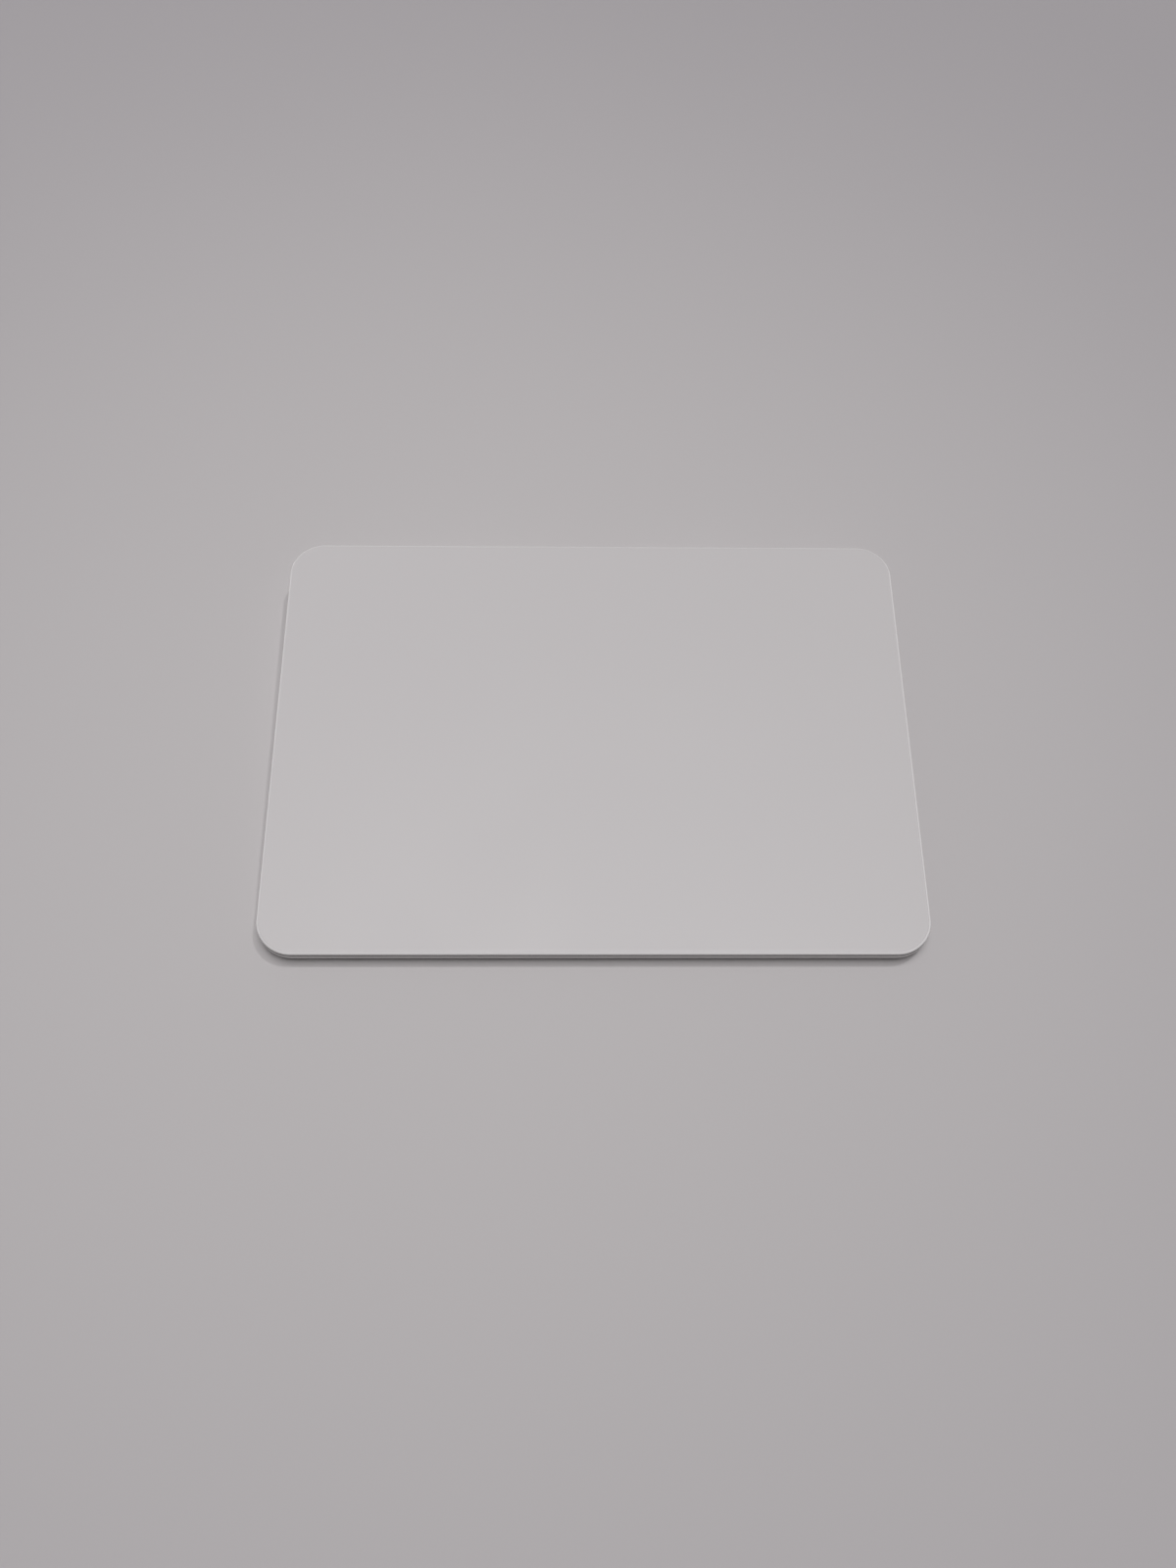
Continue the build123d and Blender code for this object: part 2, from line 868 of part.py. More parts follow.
def board_parts():
    y = board_back - small_part_inset
    for i in range(small_part_count):
        x = small_part_x + i * small_part_pitch
        size = (small_part_length, small_part_breadth, small_part_height)
        yield block(x, y, board_top, *size)


def sensor_plug():
    size = (sensor_socket_length, sensor_socket_breadth, socket_height)
    return block(sensor_plug_x, sensor_plug_y, board_top, *size)


def sensor_cable():
    # a loop that opens backwards, from the plug on the main board up to the sensor board
    back = sensor_plug_y + sensor_socket_breadth / 2
    front = back - sensor_socket_breadth - sensor_cable_reach
    low = board_top + socket_height + cable_thickness / 2
    drop = (sensor_under + socket_height + cable_thickness / 2) / cos_slope
    high_front = surface_z(front) - drop
    high_back = surface_z(back) - drop
    points = [(back, low), (front, low), (front, high_front), (back, high_back)]
    plane = Plane.YZ.offset(sensor_plug_x)
    return ribbon(points, sensor_cable_bend, cable_thickness, sensor_cable_breadth, plane)


def port_shell():
    shell = slot_bar(0, port_end, port_front, port_z, port_length, port_height)
    mouth = (port_mouth_length, port_mouth_height)
    return shell - slot_bar(0, port_end + port_wall, port_front + wall, port_z, *mouth)


def port_tongue():
    front = port_end + port_wall
    mouth = (port_mouth_length, port_mouth_height)
    body = slot_bar(0, front, front + port_block, port_z, *mouth)
    half = tongue_length / 2
    low = port_z - tongue_thickness / 2
    reach = front + port_block + tongue_reach
    return body + block_between(-half, half, front, reach, low, low + tongue_thickness)


def port_contacts():
    back = port_end + port_wall + port_block + tongue_reach - contact_setback
    front = back - contact_length
    for i in range(contact_count):
        x = (i - (contact_count - 1) / 2) * contact_pitch
        left = x - contact_breadth / 2
        right = x + contact_breadth / 2
        upper = port_z + tongue_thickness / 2
        lower = port_z - tongue_thickness / 2
        yield block_between(left, right, front, back, upper, upper + contact_thickness)
        yield block_between(left, right, front, back, lower - contact_thickness, lower)


def port_strap():
    top = board_top + port_height
    outer = strap_side + strap_thickness
    ear = outer + strap_ear
    front = strap_y - strap_breadth / 2
    back = strap_y + strap_breadth / 2
    strap = block_between(-outer, outer, front, back, board_top, top + strap_thickness)
    strap += block_between(-ear, ear, front, back, board_top, board_top + strap_thickness)
    strap -= block_between(-strap_side, strap_side, front - wall, back + wall, 0, top)
    for x, y in strap_screw_places():
        strap -= rod(x, y, 0, board_screw_radius + screw_head_gap, span)
    return strap


def switch_body():
    front = board_back - switch_body_breadth
    half = switch_body_length / 2
    left = switch_x - half
    right = switch_x + half
    body = block_between(left, right, front, board_back, board_top, board_top + switch_body_height)
    groove = (switch_travel + slider_tongue_length) / 2 + groove_gap
    rise = slider_tongue_height / 2 + groove_gap
    floor = board_back - slider_tongue_reach
    return body - block_between(
        switch_x - groove, switch_x + groove, floor, board_back + wall, port_z - rise, port_z + rise
    )


def switch_slider():
    slider = block_between(
        nub_x - slider_length / 2,
        nub_x + slider_length / 2,
        slider_front,
        slider_back,
        port_z - slider_height / 2,
        port_z + slider_height / 2,
    )
    slider += slot_bar(nub_x, slider_front, depth / 2 - nub_setback, port_z, nub_length, nub_height)
    half = slider_tongue_length / 2
    rise = slider_tongue_height / 2
    reach = slider_front - slider_tongue_reach
    return slider + block_between(
        nub_x - half, nub_x + half, reach, slider_front, port_z - rise, port_z + rise
    )


def switch_on_strip():
    # a coloured film on the slider, bare to the eye beside the nub when the power is on
    right = nub_x
    left = nub_x - nub_length / 2 - switch_travel - 2 * nub_gap - strip_margin / 2
    rise = nub_height / 2 + nub_gap + strip_margin
    film = block_between(
        left, right, slider_back, slider_back + strip_thickness, port_z - rise, port_z + rise
    )
    fit = (nub_length + 2 * strip_fit, nub_height + 2 * strip_fit)
    return film - slot_bar(nub_x, slider_front, depth / 2, port_z, *fit)


def antenna_carrier():
    return block(antenna_x, board_y, web_top, antenna_length, antenna_breadth, antenna_height)


def antenna_foil():
    z = web_top + antenna_height
    length = antenna_length - 2 * foil_inset
    breadth = antenna_breadth - 2 * foil_inset
    foil = block(antenna_x, board_y, z, length, breadth, foil_thickness)
    tail = (board_y - foil_tail_breadth / 2, board_y + foil_tail_breadth / 2)
    return foil + block_between(antenna_x, board_left + foil_tail_reach, *tail, z, z + foil_thickness)


def antenna_clip():
    # a spring that opens sideways, from the main board up to the foil's tail
    bend_x = board_left + clip_setback
    low = board_top + clip_thickness / 2
    high = web_top + antenna_height - clip_thickness / 2
    end = bend_x + clip_length
    points = [(end, low), (bend_x, low), (bend_x, high), (end, high)]
    return ribbon(points, clip_bend, clip_thickness, clip_breadth, Plane.XZ.offset(-board_y))


parts = {
    "touch_glass": touch_glass(),
    "plate_bond": layer(sensor_outline(), glass_thickness, sensor_top),
    "sensor_board": layer(sensor_outline(), sensor_top, sensor_under),
    "stiffener_bond": stiffener_bond(),
    "stiffener": stiffener(),
    "touch_chips": group(touch_chips()),
    "sensor_socket": sensor_socket(),
    "armature": armature(),
    "armature_screws": group(armature_screws()),
    "flexure_rivets": group(flexure_rivets()),
    "strain_gauges": group(strain_gauges()),
    "gel_pads": group(gel_pads()),
    "flexure_tabs": group(flexure_tabs()),
    "tab_screws": group(tab_screws()),
    "housing": housing(),
    "bottom_cover": bottom_cover(),
    "cover_bond": cover_bond(),
    "foot_bonds": group(foot_bonds()),
    "haptic_bracket": haptic_bracket(),
    "haptic_screws": group(haptic_screws()),
    "haptic_core_left": haptic_core(-1),
    "haptic_core_right": haptic_core(1),
    "haptic_coils": group(haptic_coils()),
    "haptic_cable": haptic_cable(),
    "haptic_socket": board_socket(0, haptic_socket_length),
    "battery_cell_left": battery_cell(-1),
    "battery_cell_right": battery_cell(1),
    "battery_bond": group(battery_bond()),
    "cell_tabs": group(cell_tabs()),
    "protection_board": protection_board(),
    "protection_pads": group(protection_pads()),
    "battery_cable": battery_cable(),
    "battery_socket": board_socket(battery_cable_x, battery_socket_length),
    "main_board": main_board(),
    "board_screws": group(board_screw(x, y, board_top) for x, y in board_screw_places()),
    "shield_can": shield_can(),
    "processor_chip": processor_chip(),
    "board_chips": group(board_chips()),
    "board_parts": group(board_parts()),
    "sensor_plug": sensor_plug(),
    "sensor_cable": sensor_cable(),
    "port_shell": port_shell(),
    "port_tongue": port_tongue(),
    "port_contacts": group(port_contacts()),
    "port_strap": port_strap(),
    "port_screws": group(
        board_screw(x, y, board_top + strap_thickness) for x, y in strap_screw_places()
    ),
    "switch_body": switch_body(),
    "switch_slider": switch_slider(),
    "switch_on_strip": switch_on_strip(),
    "antenna_carrier": antenna_carrier(),
    "antenna_foil": antenna_foil(),
    "antenna_clip": antenna_clip(),
}
for name, x, y, side in corner_places():
    parts["flexure_" + name] = flexure(x, y, side)
for name, x, y in foot_places():
    parts["foot_" + name] = foot(x, y)

os.makedirs("parts", exist_ok=True)
for node, shape in parts.items():
    export_step(shape, f"parts/{node}.step")
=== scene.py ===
import bpy
import bmesh
import json
import math
from mathutils import Matrix, Vector


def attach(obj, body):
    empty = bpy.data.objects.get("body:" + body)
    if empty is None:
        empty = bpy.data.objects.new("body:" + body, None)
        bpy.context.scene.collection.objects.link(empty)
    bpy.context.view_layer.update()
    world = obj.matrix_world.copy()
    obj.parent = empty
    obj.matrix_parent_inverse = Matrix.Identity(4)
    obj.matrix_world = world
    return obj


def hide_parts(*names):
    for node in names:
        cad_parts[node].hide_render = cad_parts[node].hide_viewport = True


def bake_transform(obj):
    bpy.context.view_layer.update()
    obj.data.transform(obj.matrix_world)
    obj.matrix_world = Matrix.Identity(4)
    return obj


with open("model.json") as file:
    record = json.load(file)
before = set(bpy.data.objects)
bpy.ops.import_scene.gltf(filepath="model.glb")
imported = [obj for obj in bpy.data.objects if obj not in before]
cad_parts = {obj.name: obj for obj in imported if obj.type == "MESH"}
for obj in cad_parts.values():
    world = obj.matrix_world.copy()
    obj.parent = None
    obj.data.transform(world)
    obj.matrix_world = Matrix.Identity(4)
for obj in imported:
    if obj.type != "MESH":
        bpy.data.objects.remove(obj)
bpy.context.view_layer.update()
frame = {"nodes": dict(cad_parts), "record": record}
cadNodes = frame["nodes"]
mm = 0.001
print("frame loaded:", len(cadNodes), "nodes")


def placeObject(name, data):
    made = bpy.data.objects.new(name, data)
    bpy.context.scene.collection.objects.link(made)
    return made


# Camera: placed by the plate's four edges in the photograph
cameraView = {
    "place": (-8.69, -180.24, 315.67),  # mm
    "down": 61.571,  # degrees below the horizon
    "turn": 2.489,
    "roll": 2.308,
    "lens": 32.53,
    "sensor": 36.0,
    "clip": (0.01, 20),  # m
}


def makeCamera():
    view = cameraView
    down, turn, roll = (math.radians(view[key]) for key in ("down", "turn", "roll"))
    ahead = Vector((math.sin(turn) * math.cos(down), math.cos(turn) * math.cos(down), -math.sin(down)))
    side = Vector((math.cos(turn), -math.sin(turn), 0))
    above = side.cross(ahead)
    right = side * math.cos(roll) + above * math.sin(roll)
    up = above * math.cos(roll) - side * math.sin(roll)
    lens = bpy.data.cameras.new("photoCamera")
    lens.lens = view["lens"]
    lens.sensor_width = view["sensor"]
    lens.clip_start, lens.clip_end = view["clip"]
    camera = placeObject("photoCamera", lens)
    turned = Matrix((right, up, -ahead)).transposed().to_4x4()
    camera.matrix_world = Matrix.Translation(Vector(view["place"]) * mm) @ turned
    bpy.context.scene.camera = camera


makeCamera()
print("camera placed")


# Small helpers for materials
def plug(tree, node, inputs):
    # sockets are linked and other values are set, a colour with its fourth part
    for key, value in inputs.items():
        socket = node.inputs[key]
        if isinstance(value, bpy.types.NodeSocket):
            tree.links.new(value, socket)
        elif socket.type == "RGBA" and len(value) == 3:
            socket.default_value = (*value, 1)
        else:
            socket.default_value = value


def addNode(tree, kind, inputs=None, **settings):
    made = tree.nodes.new("ShaderNode" + kind)
    for key, value in settings.items():
        setattr(made, key, value)
    plug(tree, made, inputs or {})
    return made


signs = {"+": "ADD", "-": "SUBTRACT", "*": "MULTIPLY", "/": "DIVIDE", ">": "GREATER_THAN", "<": "LESS_THAN"}


def calc(tree, sign, *values, clamp=False):
    operation = signs.get(sign, sign)
    return addNode(tree, "Math", dict(enumerate(values)), operation=operation, use_clamp=clamp).outputs[0]


def vectorCalc(tree, operation, *values):
    made = addNode(tree, "VectorMath", dict(enumerate(values)), operation=operation)
    return made.outputs["Value" if operation in ("DOT_PRODUCT", "LENGTH") else "Vector"]


def noise(tree, place, scale, detail):
    return addNode(tree, "TexNoise", {"Vector": place, "Scale": scale, "Detail": detail}).outputs[0]


def spread(tree, value, start, end, low=0, high=1, way="LINEAR"):
    # start to end becomes low to high
    made = addNode(tree, "MapRange", {
        "Value": value, "From Min": start, "From Max": end, "To Min": low, "To Max": high}, interpolation_type=way)
    return made.outputs[0]


def blendColour(tree, share, first, second, mode="MIX"):
    return addNode(tree, "Mix", {0: share, 6: first, 7: second}, data_type="RGBA", blend_type=mode).outputs[2]


def scaled(values, share):
    return [part * share for part in values]


def axesOf(tree, vector):
    return addNode(tree, "SeparateXYZ", {0: vector}).outputs


def objectPlace(tree):
    return addNode(tree, "TexCoord").outputs["Object"]


def facingUp(tree):
    return axesOf(tree, addNode(tree, "TexCoord").outputs["Normal"])["Z"]


def offMiddle(tree, value):
    return calc(tree, "-", calc(tree, "FRACT", value), 0.5)


def startGroup(name, inputs, outputs):
    # numbers, vectors of three and colours of four parts go in
    tree = bpy.data.node_groups.new(name, "ShaderNodeTree")
    for label, value in inputs.items():
        kind = "Float" if isinstance(value, (int, float)) else {3: "Vector", 4: "Color"}[len(value)]
        tree.interface.new_socket(label, in_out="INPUT", socket_type="NodeSocket" + kind).default_value = value
    for label in outputs:
        kind = "Color" if label == "Color" else "Float"
        tree.interface.new_socket(label, in_out="OUTPUT", socket_type="NodeSocket" + kind)
    return tree, tree.nodes.new("NodeGroupInput").outputs, tree.nodes.new("NodeGroupOutput")


def placeGroup(tree, group, **inputs):
    return addNode(tree, "Group", inputs, node_tree=group).outputs


# Shared effects
effectLook = {
    "noiseSpan": (0.3, 0.7), "broadShare": 0.03, "broadDetail": 3,
    "grey": (0.5, 0.5, 0.5, 1), "driftSpan": (0.35, 0.65),
    "speckSpan": (0.72, 0.78), "speckTone": (0.45, 0.43, 0.4),
    "edgeGain": 9.0, "edgeLow": 0.4, "trackChance": 0.55, "viaChance": 0.6, "viaReach": 0.14, "holeReach": 0.06,
    "waverScale": 300, "bow": 0.2501, "grooveSpan": (0.25, 0.75),
}


def makeGrain():
    # fine noise for blasted metal, etched glass, moulded skins and rolled sheet
    tree, given, out = startGroup(
        "fineGrain", {"Scale": 3000, "Stretch": (1, 1, 1), "Detail": 2}, ("Height", "Broad"))
    place = vectorCalc(tree, "MULTIPLY", objectPlace(tree), given["Stretch"])
    broadScale = calc(tree, "*", given["Scale"], effectLook["broadShare"])
    plug(tree, out, {
        "Height": noise(tree, place, given["Scale"], given["Detail"]),
        "Broad": noise(tree, place, broadScale, effectLook["broadDetail"])})
    return tree


def makeTone():
    # a colour that drifts a little over the surface, with sparse specks
    grey = effectLook["grey"]
    tree, given, out = startGroup(
        "driftingTone", {"Tone": grey, "Drift": grey, "Scale": 40, "Specks": 0.0, "Speck Scale": 2500},
        ("Color", "Drift Mask"))
    place = objectPlace(tree)
    share = spread(tree, noise(tree, place, given["Scale"], 3), *effectLook["driftSpan"])
    tint = blendColour(tree, share, given["Tone"], given["Drift"])
    dots = spread(tree, noise(tree, place, given["Speck Scale"], 1), *effectLook["speckSpan"])
    darker = blendColour(tree, 1.0, tint, effectLook["speckTone"], "MULTIPLY")
    specked = blendColour(tree, calc(tree, "*", dots, given["Specks"]), tint, darker)
    plug(tree, out, {"Color": specked, "Drift Mask": share})
    return tree


def makeEdges():
    # finds convex edges, broken up a little, which are laid lighter: partly rubbed wear, partly a painted highlight
    tree, given, out = startGroup("rubbedEdges", {"Reach": 0.0002, "Strength": 1.0, "Scale": 400}, ["Mask"])
    rounded = addNode(tree, "Bevel", {"Radius": given["Reach"]}, samples=4).outputs[0]
    plain = addNode(tree, "NewGeometry").outputs["Normal"]
    bent = calc(tree, "-", 1.0, vectorCalc(tree, "DOT_PRODUCT", rounded, plain))
    broken = noise(tree, objectPlace(tree), given["Scale"], 4)
    uneven = spread(tree, broken, *effectLook["noiseSpan"], effectLook["edgeLow"])
    strong = calc(tree, "*", bent, calc(tree, "*", given["Strength"], effectLook["edgeGain"]))
    plug(tree, out, {"Mask": calc(tree, "*", strong, uneven, clamp=True)})
    return tree


def makeTracks():
    # rows of printed copper runs under solder mask, with plated vias
    tree, given, out = startGroup(
        "copperTracks", {"Pitch": 0.0008, "Run": 0.006, "Width": 0.35, "Via Pitch": 0.0025},
        ("Tracks", "Vias", "Holes"))
    axes = axesOf(tree, objectPlace(tree))

    def chosen(cells, chance):
        key = addNode(tree, "CombineXYZ", dict(enumerate(cells))).outputs[0]
        drawn = addNode(tree, "TexWhiteNoise", {"Vector": key}, noise_dimensions="2D").outputs["Value"]
        return calc(tree, ">", drawn, chance)

    def runs(across, along):
        row = calc(tree, "/", across, given["Pitch"])
        rowNumber = calc(tree, "FLOOR", row)
        away = calc(tree, "ABSOLUTE", offMiddle(tree, row))
        inside = calc(tree, "<", away, calc(tree, "*", given["Width"], 0.5))
        shift = addNode(tree, "TexWhiteNoise", {"W": rowNumber}, noise_dimensions="1D").outputs["Value"]
        cell = calc(tree, "FLOOR", calc(tree, "+", calc(tree, "/", along, given["Run"]), shift))
        return calc(tree, "*", inside, chosen((rowNumber, cell), effectLook["trackChance"]))

    cells = [calc(tree, "/", axes[axis], given["Via Pitch"]) for axis in "XY"]
    gaps = [offMiddle(tree, cell) for cell in cells]
    away = calc(tree, "SQRT", calc(tree, "+", *(calc(tree, "*", gap, gap) for gap in gaps)))
    picked = chosen([calc(tree, "FLOOR", cell) for cell in cells], effectLook["viaChance"])
    plug(tree, out, {"Tracks": calc(tree, "MAXIMUM", runs(axes["Y"], axes["X"]), runs(axes["X"], axes["Y"]))})
    for label, reach in (("Vias", effectLook["viaReach"]), ("Holes", effectLook["holeReach"])):
        plug(tree, out, {label: calc(tree, "*", picked, calc(tree, "<", away, reach))})
    return tree


def makeRidges():
    # evenly spaced ridges along one direction, for windings, leads and foil grids
    tree, given, out = startGroup(
        "evenRidges", {"Direction": (1, 0, 0), "Pitch": 0.0002, "Waver": 0.1}, ("Height", "Grooves"))
    place = objectPlace(tree)
    along = vectorCalc(tree, "DOT_PRODUCT", place, given["Direction"])
    uneven = calc(tree, "-", noise(tree, place, effectLook["waverScale"], 2), 0.5)
    turns = calc(tree, "+", calc(tree, "/", along, given["Pitch"]), calc(tree, "*", uneven, given["Waver"]))
    middle = offMiddle(tree, turns)
    bowed = calc(tree, "SQRT", calc(tree, "-", effectLook["bow"], calc(tree, "*", middle, middle)))
    height = calc(tree, "*", bowed, 2.0)
    plug(tree, out, {"Height": height, "Grooves": spread(tree, height, *effectLook["grooveSpan"], 1, 0)})
    return tree


grain, tone, edges, tracks, ridges = makeGrain(), makeTone(), makeEdges(), makeTracks(), makeRidges()


def startFinish(name, even):
    # a Principled shader whose even values are set on its own sockets
    material = bpy.data.materials.new(name)
    material.use_nodes = True
    tree = material.node_tree
    shader = tree.nodes["Principled BSDF"]
    plug(tree, shader, even)
    return material, tree, shader


def between(tree, value, ends):
    return spread(tree, value, *effectLook["noiseSpan"], *ends)


def drifting(tree, tint, look, specks=0.0):
    # the drift is a colour of its own, or the tint times a number
    drift = scaled(tint, look["drift"]) if isinstance(look["drift"], float) else look["drift"]
    return placeGroup(tree, tone, Tone=tint, Drift=drift, Scale=look["driftScale"], Specks=specks)


def dress(tree, shader, base, roughness, height, look):
    bump = addNode(tree, "Bump", {"Height": height, "Strength": look["bump"], "Distance": look["height"]})
    plug(tree, shader, {"Base Color": base, "Roughness": roughness, "Normal": bump.outputs[0]})


# Plate finishes
etchedLook = {
    "tone": (0.653, 0.63, 0.639), "drift": (0.648, 0.625, 0.635), "driftScale": 14,
    "roughness": (0.36, 0.40), "grainScale": 9000, "grainDetail": 1.0, "height": 0.000004, "bump": 0.25,
    "even": {"IOR": 1.5},
}
# the rim's steep faces are painted near white: a painted glow, standing in for light that comes through the
# polished glass edge
rimLook = {
    "flat": (0.66, 0.637, 0.647), "paintedEdgeGlow": (1.0, 0.985, 0.99), "paintedGlowSpan": (0.96, 0.78), "drift": 0.985,
    "driftScale": 60, "roughness": (0.3, 0.34), "even": {"IOR": 1.52},
}


def etchedGlass():
    look = etchedLook
    material, tree, shader = startFinish("etchedWhiteGlass", look["even"])
    colour = drifting(tree, look["tone"], look)
    fine = placeGroup(tree, grain, Scale=look["grainScale"], Detail=look["grainDetail"])
    roughness = between(tree, colour["Drift Mask"], look["roughness"])
    dress(tree, shader, colour["Color"], roughness, fine["Height"], look)
    return material


def rimWithPaintedGlow():
    look = rimLook
    material, tree, shader = startFinish("polishedGlassRim", look["even"])
    # near white on the steep faces is a painted glow of light through the glass edge
    paintedEdgeGlow = spread(tree, facingUp(tree), *look["paintedGlowSpan"])
    colour = drifting(tree, look["flat"], look)
    plug(tree, shader, {
        "Base Color": blendColour(tree, paintedEdgeGlow, colour["Color"], look["paintedEdgeGlow"]),
        "Roughness": between(tree, colour["Drift Mask"], look["roughness"])})
    return material


# Metal and moulded finishes share one recipe; each slot has its row of values under these heads
# each metal's edge tone is partly rubbed wear, partly a painted highlight
metalHeads = ("name", "tone", "drift", "driftScale", "roughness", "grainScale", "stretch", "bump", "height",
              "edgeReach", "edge", "edgeWearAndHighlightTone")
metalLooks = {
    "anodised_aluminium": (
        "blastedAluminium", (0.57, 0.566, 0.562), (0.555, 0.551, 0.548), 90, (0.36, 0.44), 8000, (1, 1, 1),
        0.8, 0.00003, 0.00012, 0.2, (0.72, 0.72, 0.715)),
    "sheet_steel": (
        "rolledSteel", (0.60, 0.595, 0.58), (0.53, 0.53, 0.52), 120, (0.22, 0.38), 1600, (0.06, 1, 1),
        0.3, 0.00001, 0.00015, 0.6, (0.78, 0.77, 0.75)),
    "spring_steel": (
        "springSteel", (0.50, 0.50, 0.505), (0.43, 0.435, 0.45), 300, (0.2, 0.3), 3200, (0.05, 1, 1),
        0.35, 0.000008, 0.0001, 0.5, (0.7, 0.7, 0.7)),
    "screw_steel": (
        "turnedScrew", (0.40, 0.395, 0.39), (0.33, 0.33, 0.335), 700, (0.25, 0.4), 6000, (1, 1, 0.3),
        0.3, 0.000006, 0.0001, 0.9, (0.66, 0.65, 0.63)),
    "port_steel": (
        "drawnShell", (0.62, 0.615, 0.61), (0.56, 0.56, 0.56), 400, (0.2, 0.32), 3000, (1, 0.06, 1),
        0.3, 0.000006, 0.00012, 0.8, (0.8, 0.8, 0.79)),
    "core_iron": (
        "pressedIron", (0.23, 0.23, 0.24), (0.17, 0.17, 0.185), 260, (0.42, 0.6), 3500, (1, 1, 0.1),
        0.5, 0.00002, 0.00015, 0.8, (0.42, 0.42, 0.42)),
    "cell_nickel": (
        "nickelStrip", (0.66, 0.635, 0.57), (0.6, 0.575, 0.51), 500, (0.25, 0.4), 2500, (1, 0.08, 1),
        0.3, 0.000008, 0.00008, 0.6, (0.8, 0.78, 0.72)),
    "contact_gold": (
        "goldPlate", (0.86, 0.60, 0.22), (0.82, 0.55, 0.19), 1500, (0.16, 0.26), 8000, (1, 0.1, 1),
        0.2, 0.000003, 0.00003, 0.6, (0.95, 0.74, 0.38)),
    "antenna_copper": (
        "antennaCopper", (0.80, 0.42, 0.24), (0.70, 0.34, 0.18), 350, (0.24, 0.4), 2500, (0.08, 1, 1),
        0.25, 0.000006, 0.00008, 0.6, (0.92, 0.62, 0.42)),
}
# the housing's faces that look up, inside the tray and seen through the gap under the plate, are painted dark:
# painted shade in the tray and the gap
trayPaintedShade = {"name": "blastedAluminium", "tone": (0.15, 0.15, 0.152), "facing": 0.9}
# each moulded finish's edge tone is partly rubbed wear, partly a painted highlight
mouldedHeads = ("name", "tone", "drift", "driftScale", "specks", "roughness", "grainScale", "bump", "height",
                "edge", "edgeWearAndHighlightTone", "ior")
mouldedLooks = {
    "cover_white": (
        "satinCover", (0.72, 0.715, 0.71), (0.705, 0.70, 0.695), 35, 0.0, (0.42, 0.5), 5000, 0.8, 0.00004,
        0.25, (0.78, 0.775, 0.77), 1.49),
    "foot_silicone": (
        "paleSilicone", (0.45, 0.446, 0.442), (0.42, 0.417, 0.413), 220, 0.5, (0.62, 0.74), 5200, 0.5, 0.00002,
        0.3, (0.58, 0.576, 0.572), 1.41),
    "adhesive_film": (
        "blackFoamTape", (0.024, 0.024, 0.026), (0.035, 0.034, 0.034), 300, 0.0, (0.75, 0.9), 2600, 0.9, 0.00004,
        0.3, (0.06, 0.06, 0.06), 1.45),
    "clear_adhesive": (
        "milkyAdhesive", (0.62, 0.61, 0.56), (0.55, 0.545, 0.5), 160, 0.3, (0.25, 0.45), 900, 0.4, 0.00002,
        0.2, (0.7, 0.69, 0.65), 1.47),
    "chip_epoxy": (
        "chipEpoxy", (0.022, 0.022, 0.024), (0.028, 0.028, 0.03), 500, 0.0, (0.55, 0.68), 7000, 0.5, 0.000012,
        0.6, (0.08, 0.08, 0.085), 1.52),
    "socket_plastic": (
        "socketPlastic", (0.034, 0.032, 0.03), (0.045, 0.042, 0.038), 600, 0.0, (0.35, 0.5), 5200, 0.3, 0.000008,
        0.6, (0.11, 0.1, 0.095), 1.55),
    "tongue_plastic": (
        "tonguePlastic", (0.018, 0.018, 0.019), (0.025, 0.025, 0.026), 700, 0.0, (0.38, 0.5), 6000, 0.3, 0.000006,
        0.6, (0.09, 0.09, 0.09), 1.55),
    "gel": (
        "lilacGel", (0.46, 0.40, 0.49), (0.41, 0.355, 0.45), 300, 0.2, (0.12, 0.24), 1200, 0.25, 0.00001,
        0.4, (0.62, 0.57, 0.65), 1.41),
    "pad_foam": (
        "blackFoam", (0.03, 0.03, 0.03), (0.045, 0.045, 0.045), 700, 0.6, (0.85, 0.95), 3000, 1.0, 0.00008,
        0.2, (0.07, 0.07, 0.07), 1.4),
    "switch_white": (
        "satinSwitch", (0.66, 0.66, 0.665), (0.64, 0.64, 0.645), 200, 0.0, (0.34, 0.44), 6000, 0.35, 0.000008,
        0.6, (0.76, 0.76, 0.76), 1.5),
    "on_green": (
        "onGreen", (0.05, 0.45, 0.11), (0.045, 0.40, 0.1), 500, 0.0, (0.35, 0.45), 6000, 0.2, 0.000005,
        0.2, (0.12, 0.55, 0.2), 1.5),
    "amber_tape": (
        "amberTape", (0.50, 0.24, 0.035), (0.44, 0.2, 0.03), 260, 0.0, (0.18, 0.3), 900, 0.25, 0.00001,
        0.4, (0.66, 0.4, 0.12), 1.6),
    "antenna_plastic": (
        "antennaPlastic", (0.07, 0.07, 0.073), (0.085, 0.085, 0.088), 200, 0.2, (0.45, 0.6), 4000, 0.4, 0.00001,
        0.5, (0.18, 0.18, 0.18), 1.5),
}
plainLook = {"specks": 0.0, "stretch": (1, 1, 1), "edgeReach": 0.00015}


def surfaceFinish(heads, row):
    look = {**plainLook, **dict(zip(heads, row))}
    metal = heads is metalHeads
    material, tree, shader = startFinish(look["name"], {"Metallic": 1.0} if metal else {"IOR": look["ior"]})
    colour = drifting(tree, look["tone"], look, look["specks"])
    fine = placeGroup(tree, grain, Scale=look["grainScale"], Stretch=look["stretch"])
    worn = placeGroup(tree, edges, Reach=look["edgeReach"], Strength=look["edge"])
    # lighter edges: partly rubbed wear, partly a painted highlight where edges catch the light
    base = blendColour(tree, worn["Mask"], colour["Color"], look["edgeWearAndHighlightTone"])
    # faces looking up are laid dark: painted shade inside the tray and in the gap under the plate
    if look["name"] == trayPaintedShade["name"]:
        base = blendColour(tree, calc(tree, ">", facingUp(tree), trayPaintedShade["facing"]), base, trayPaintedShade["tone"])
    roughness = between(tree, fine["Broad"], look["roughness"])
    dress(tree, shader, base, roughness, fine["Height"], look)
    return material


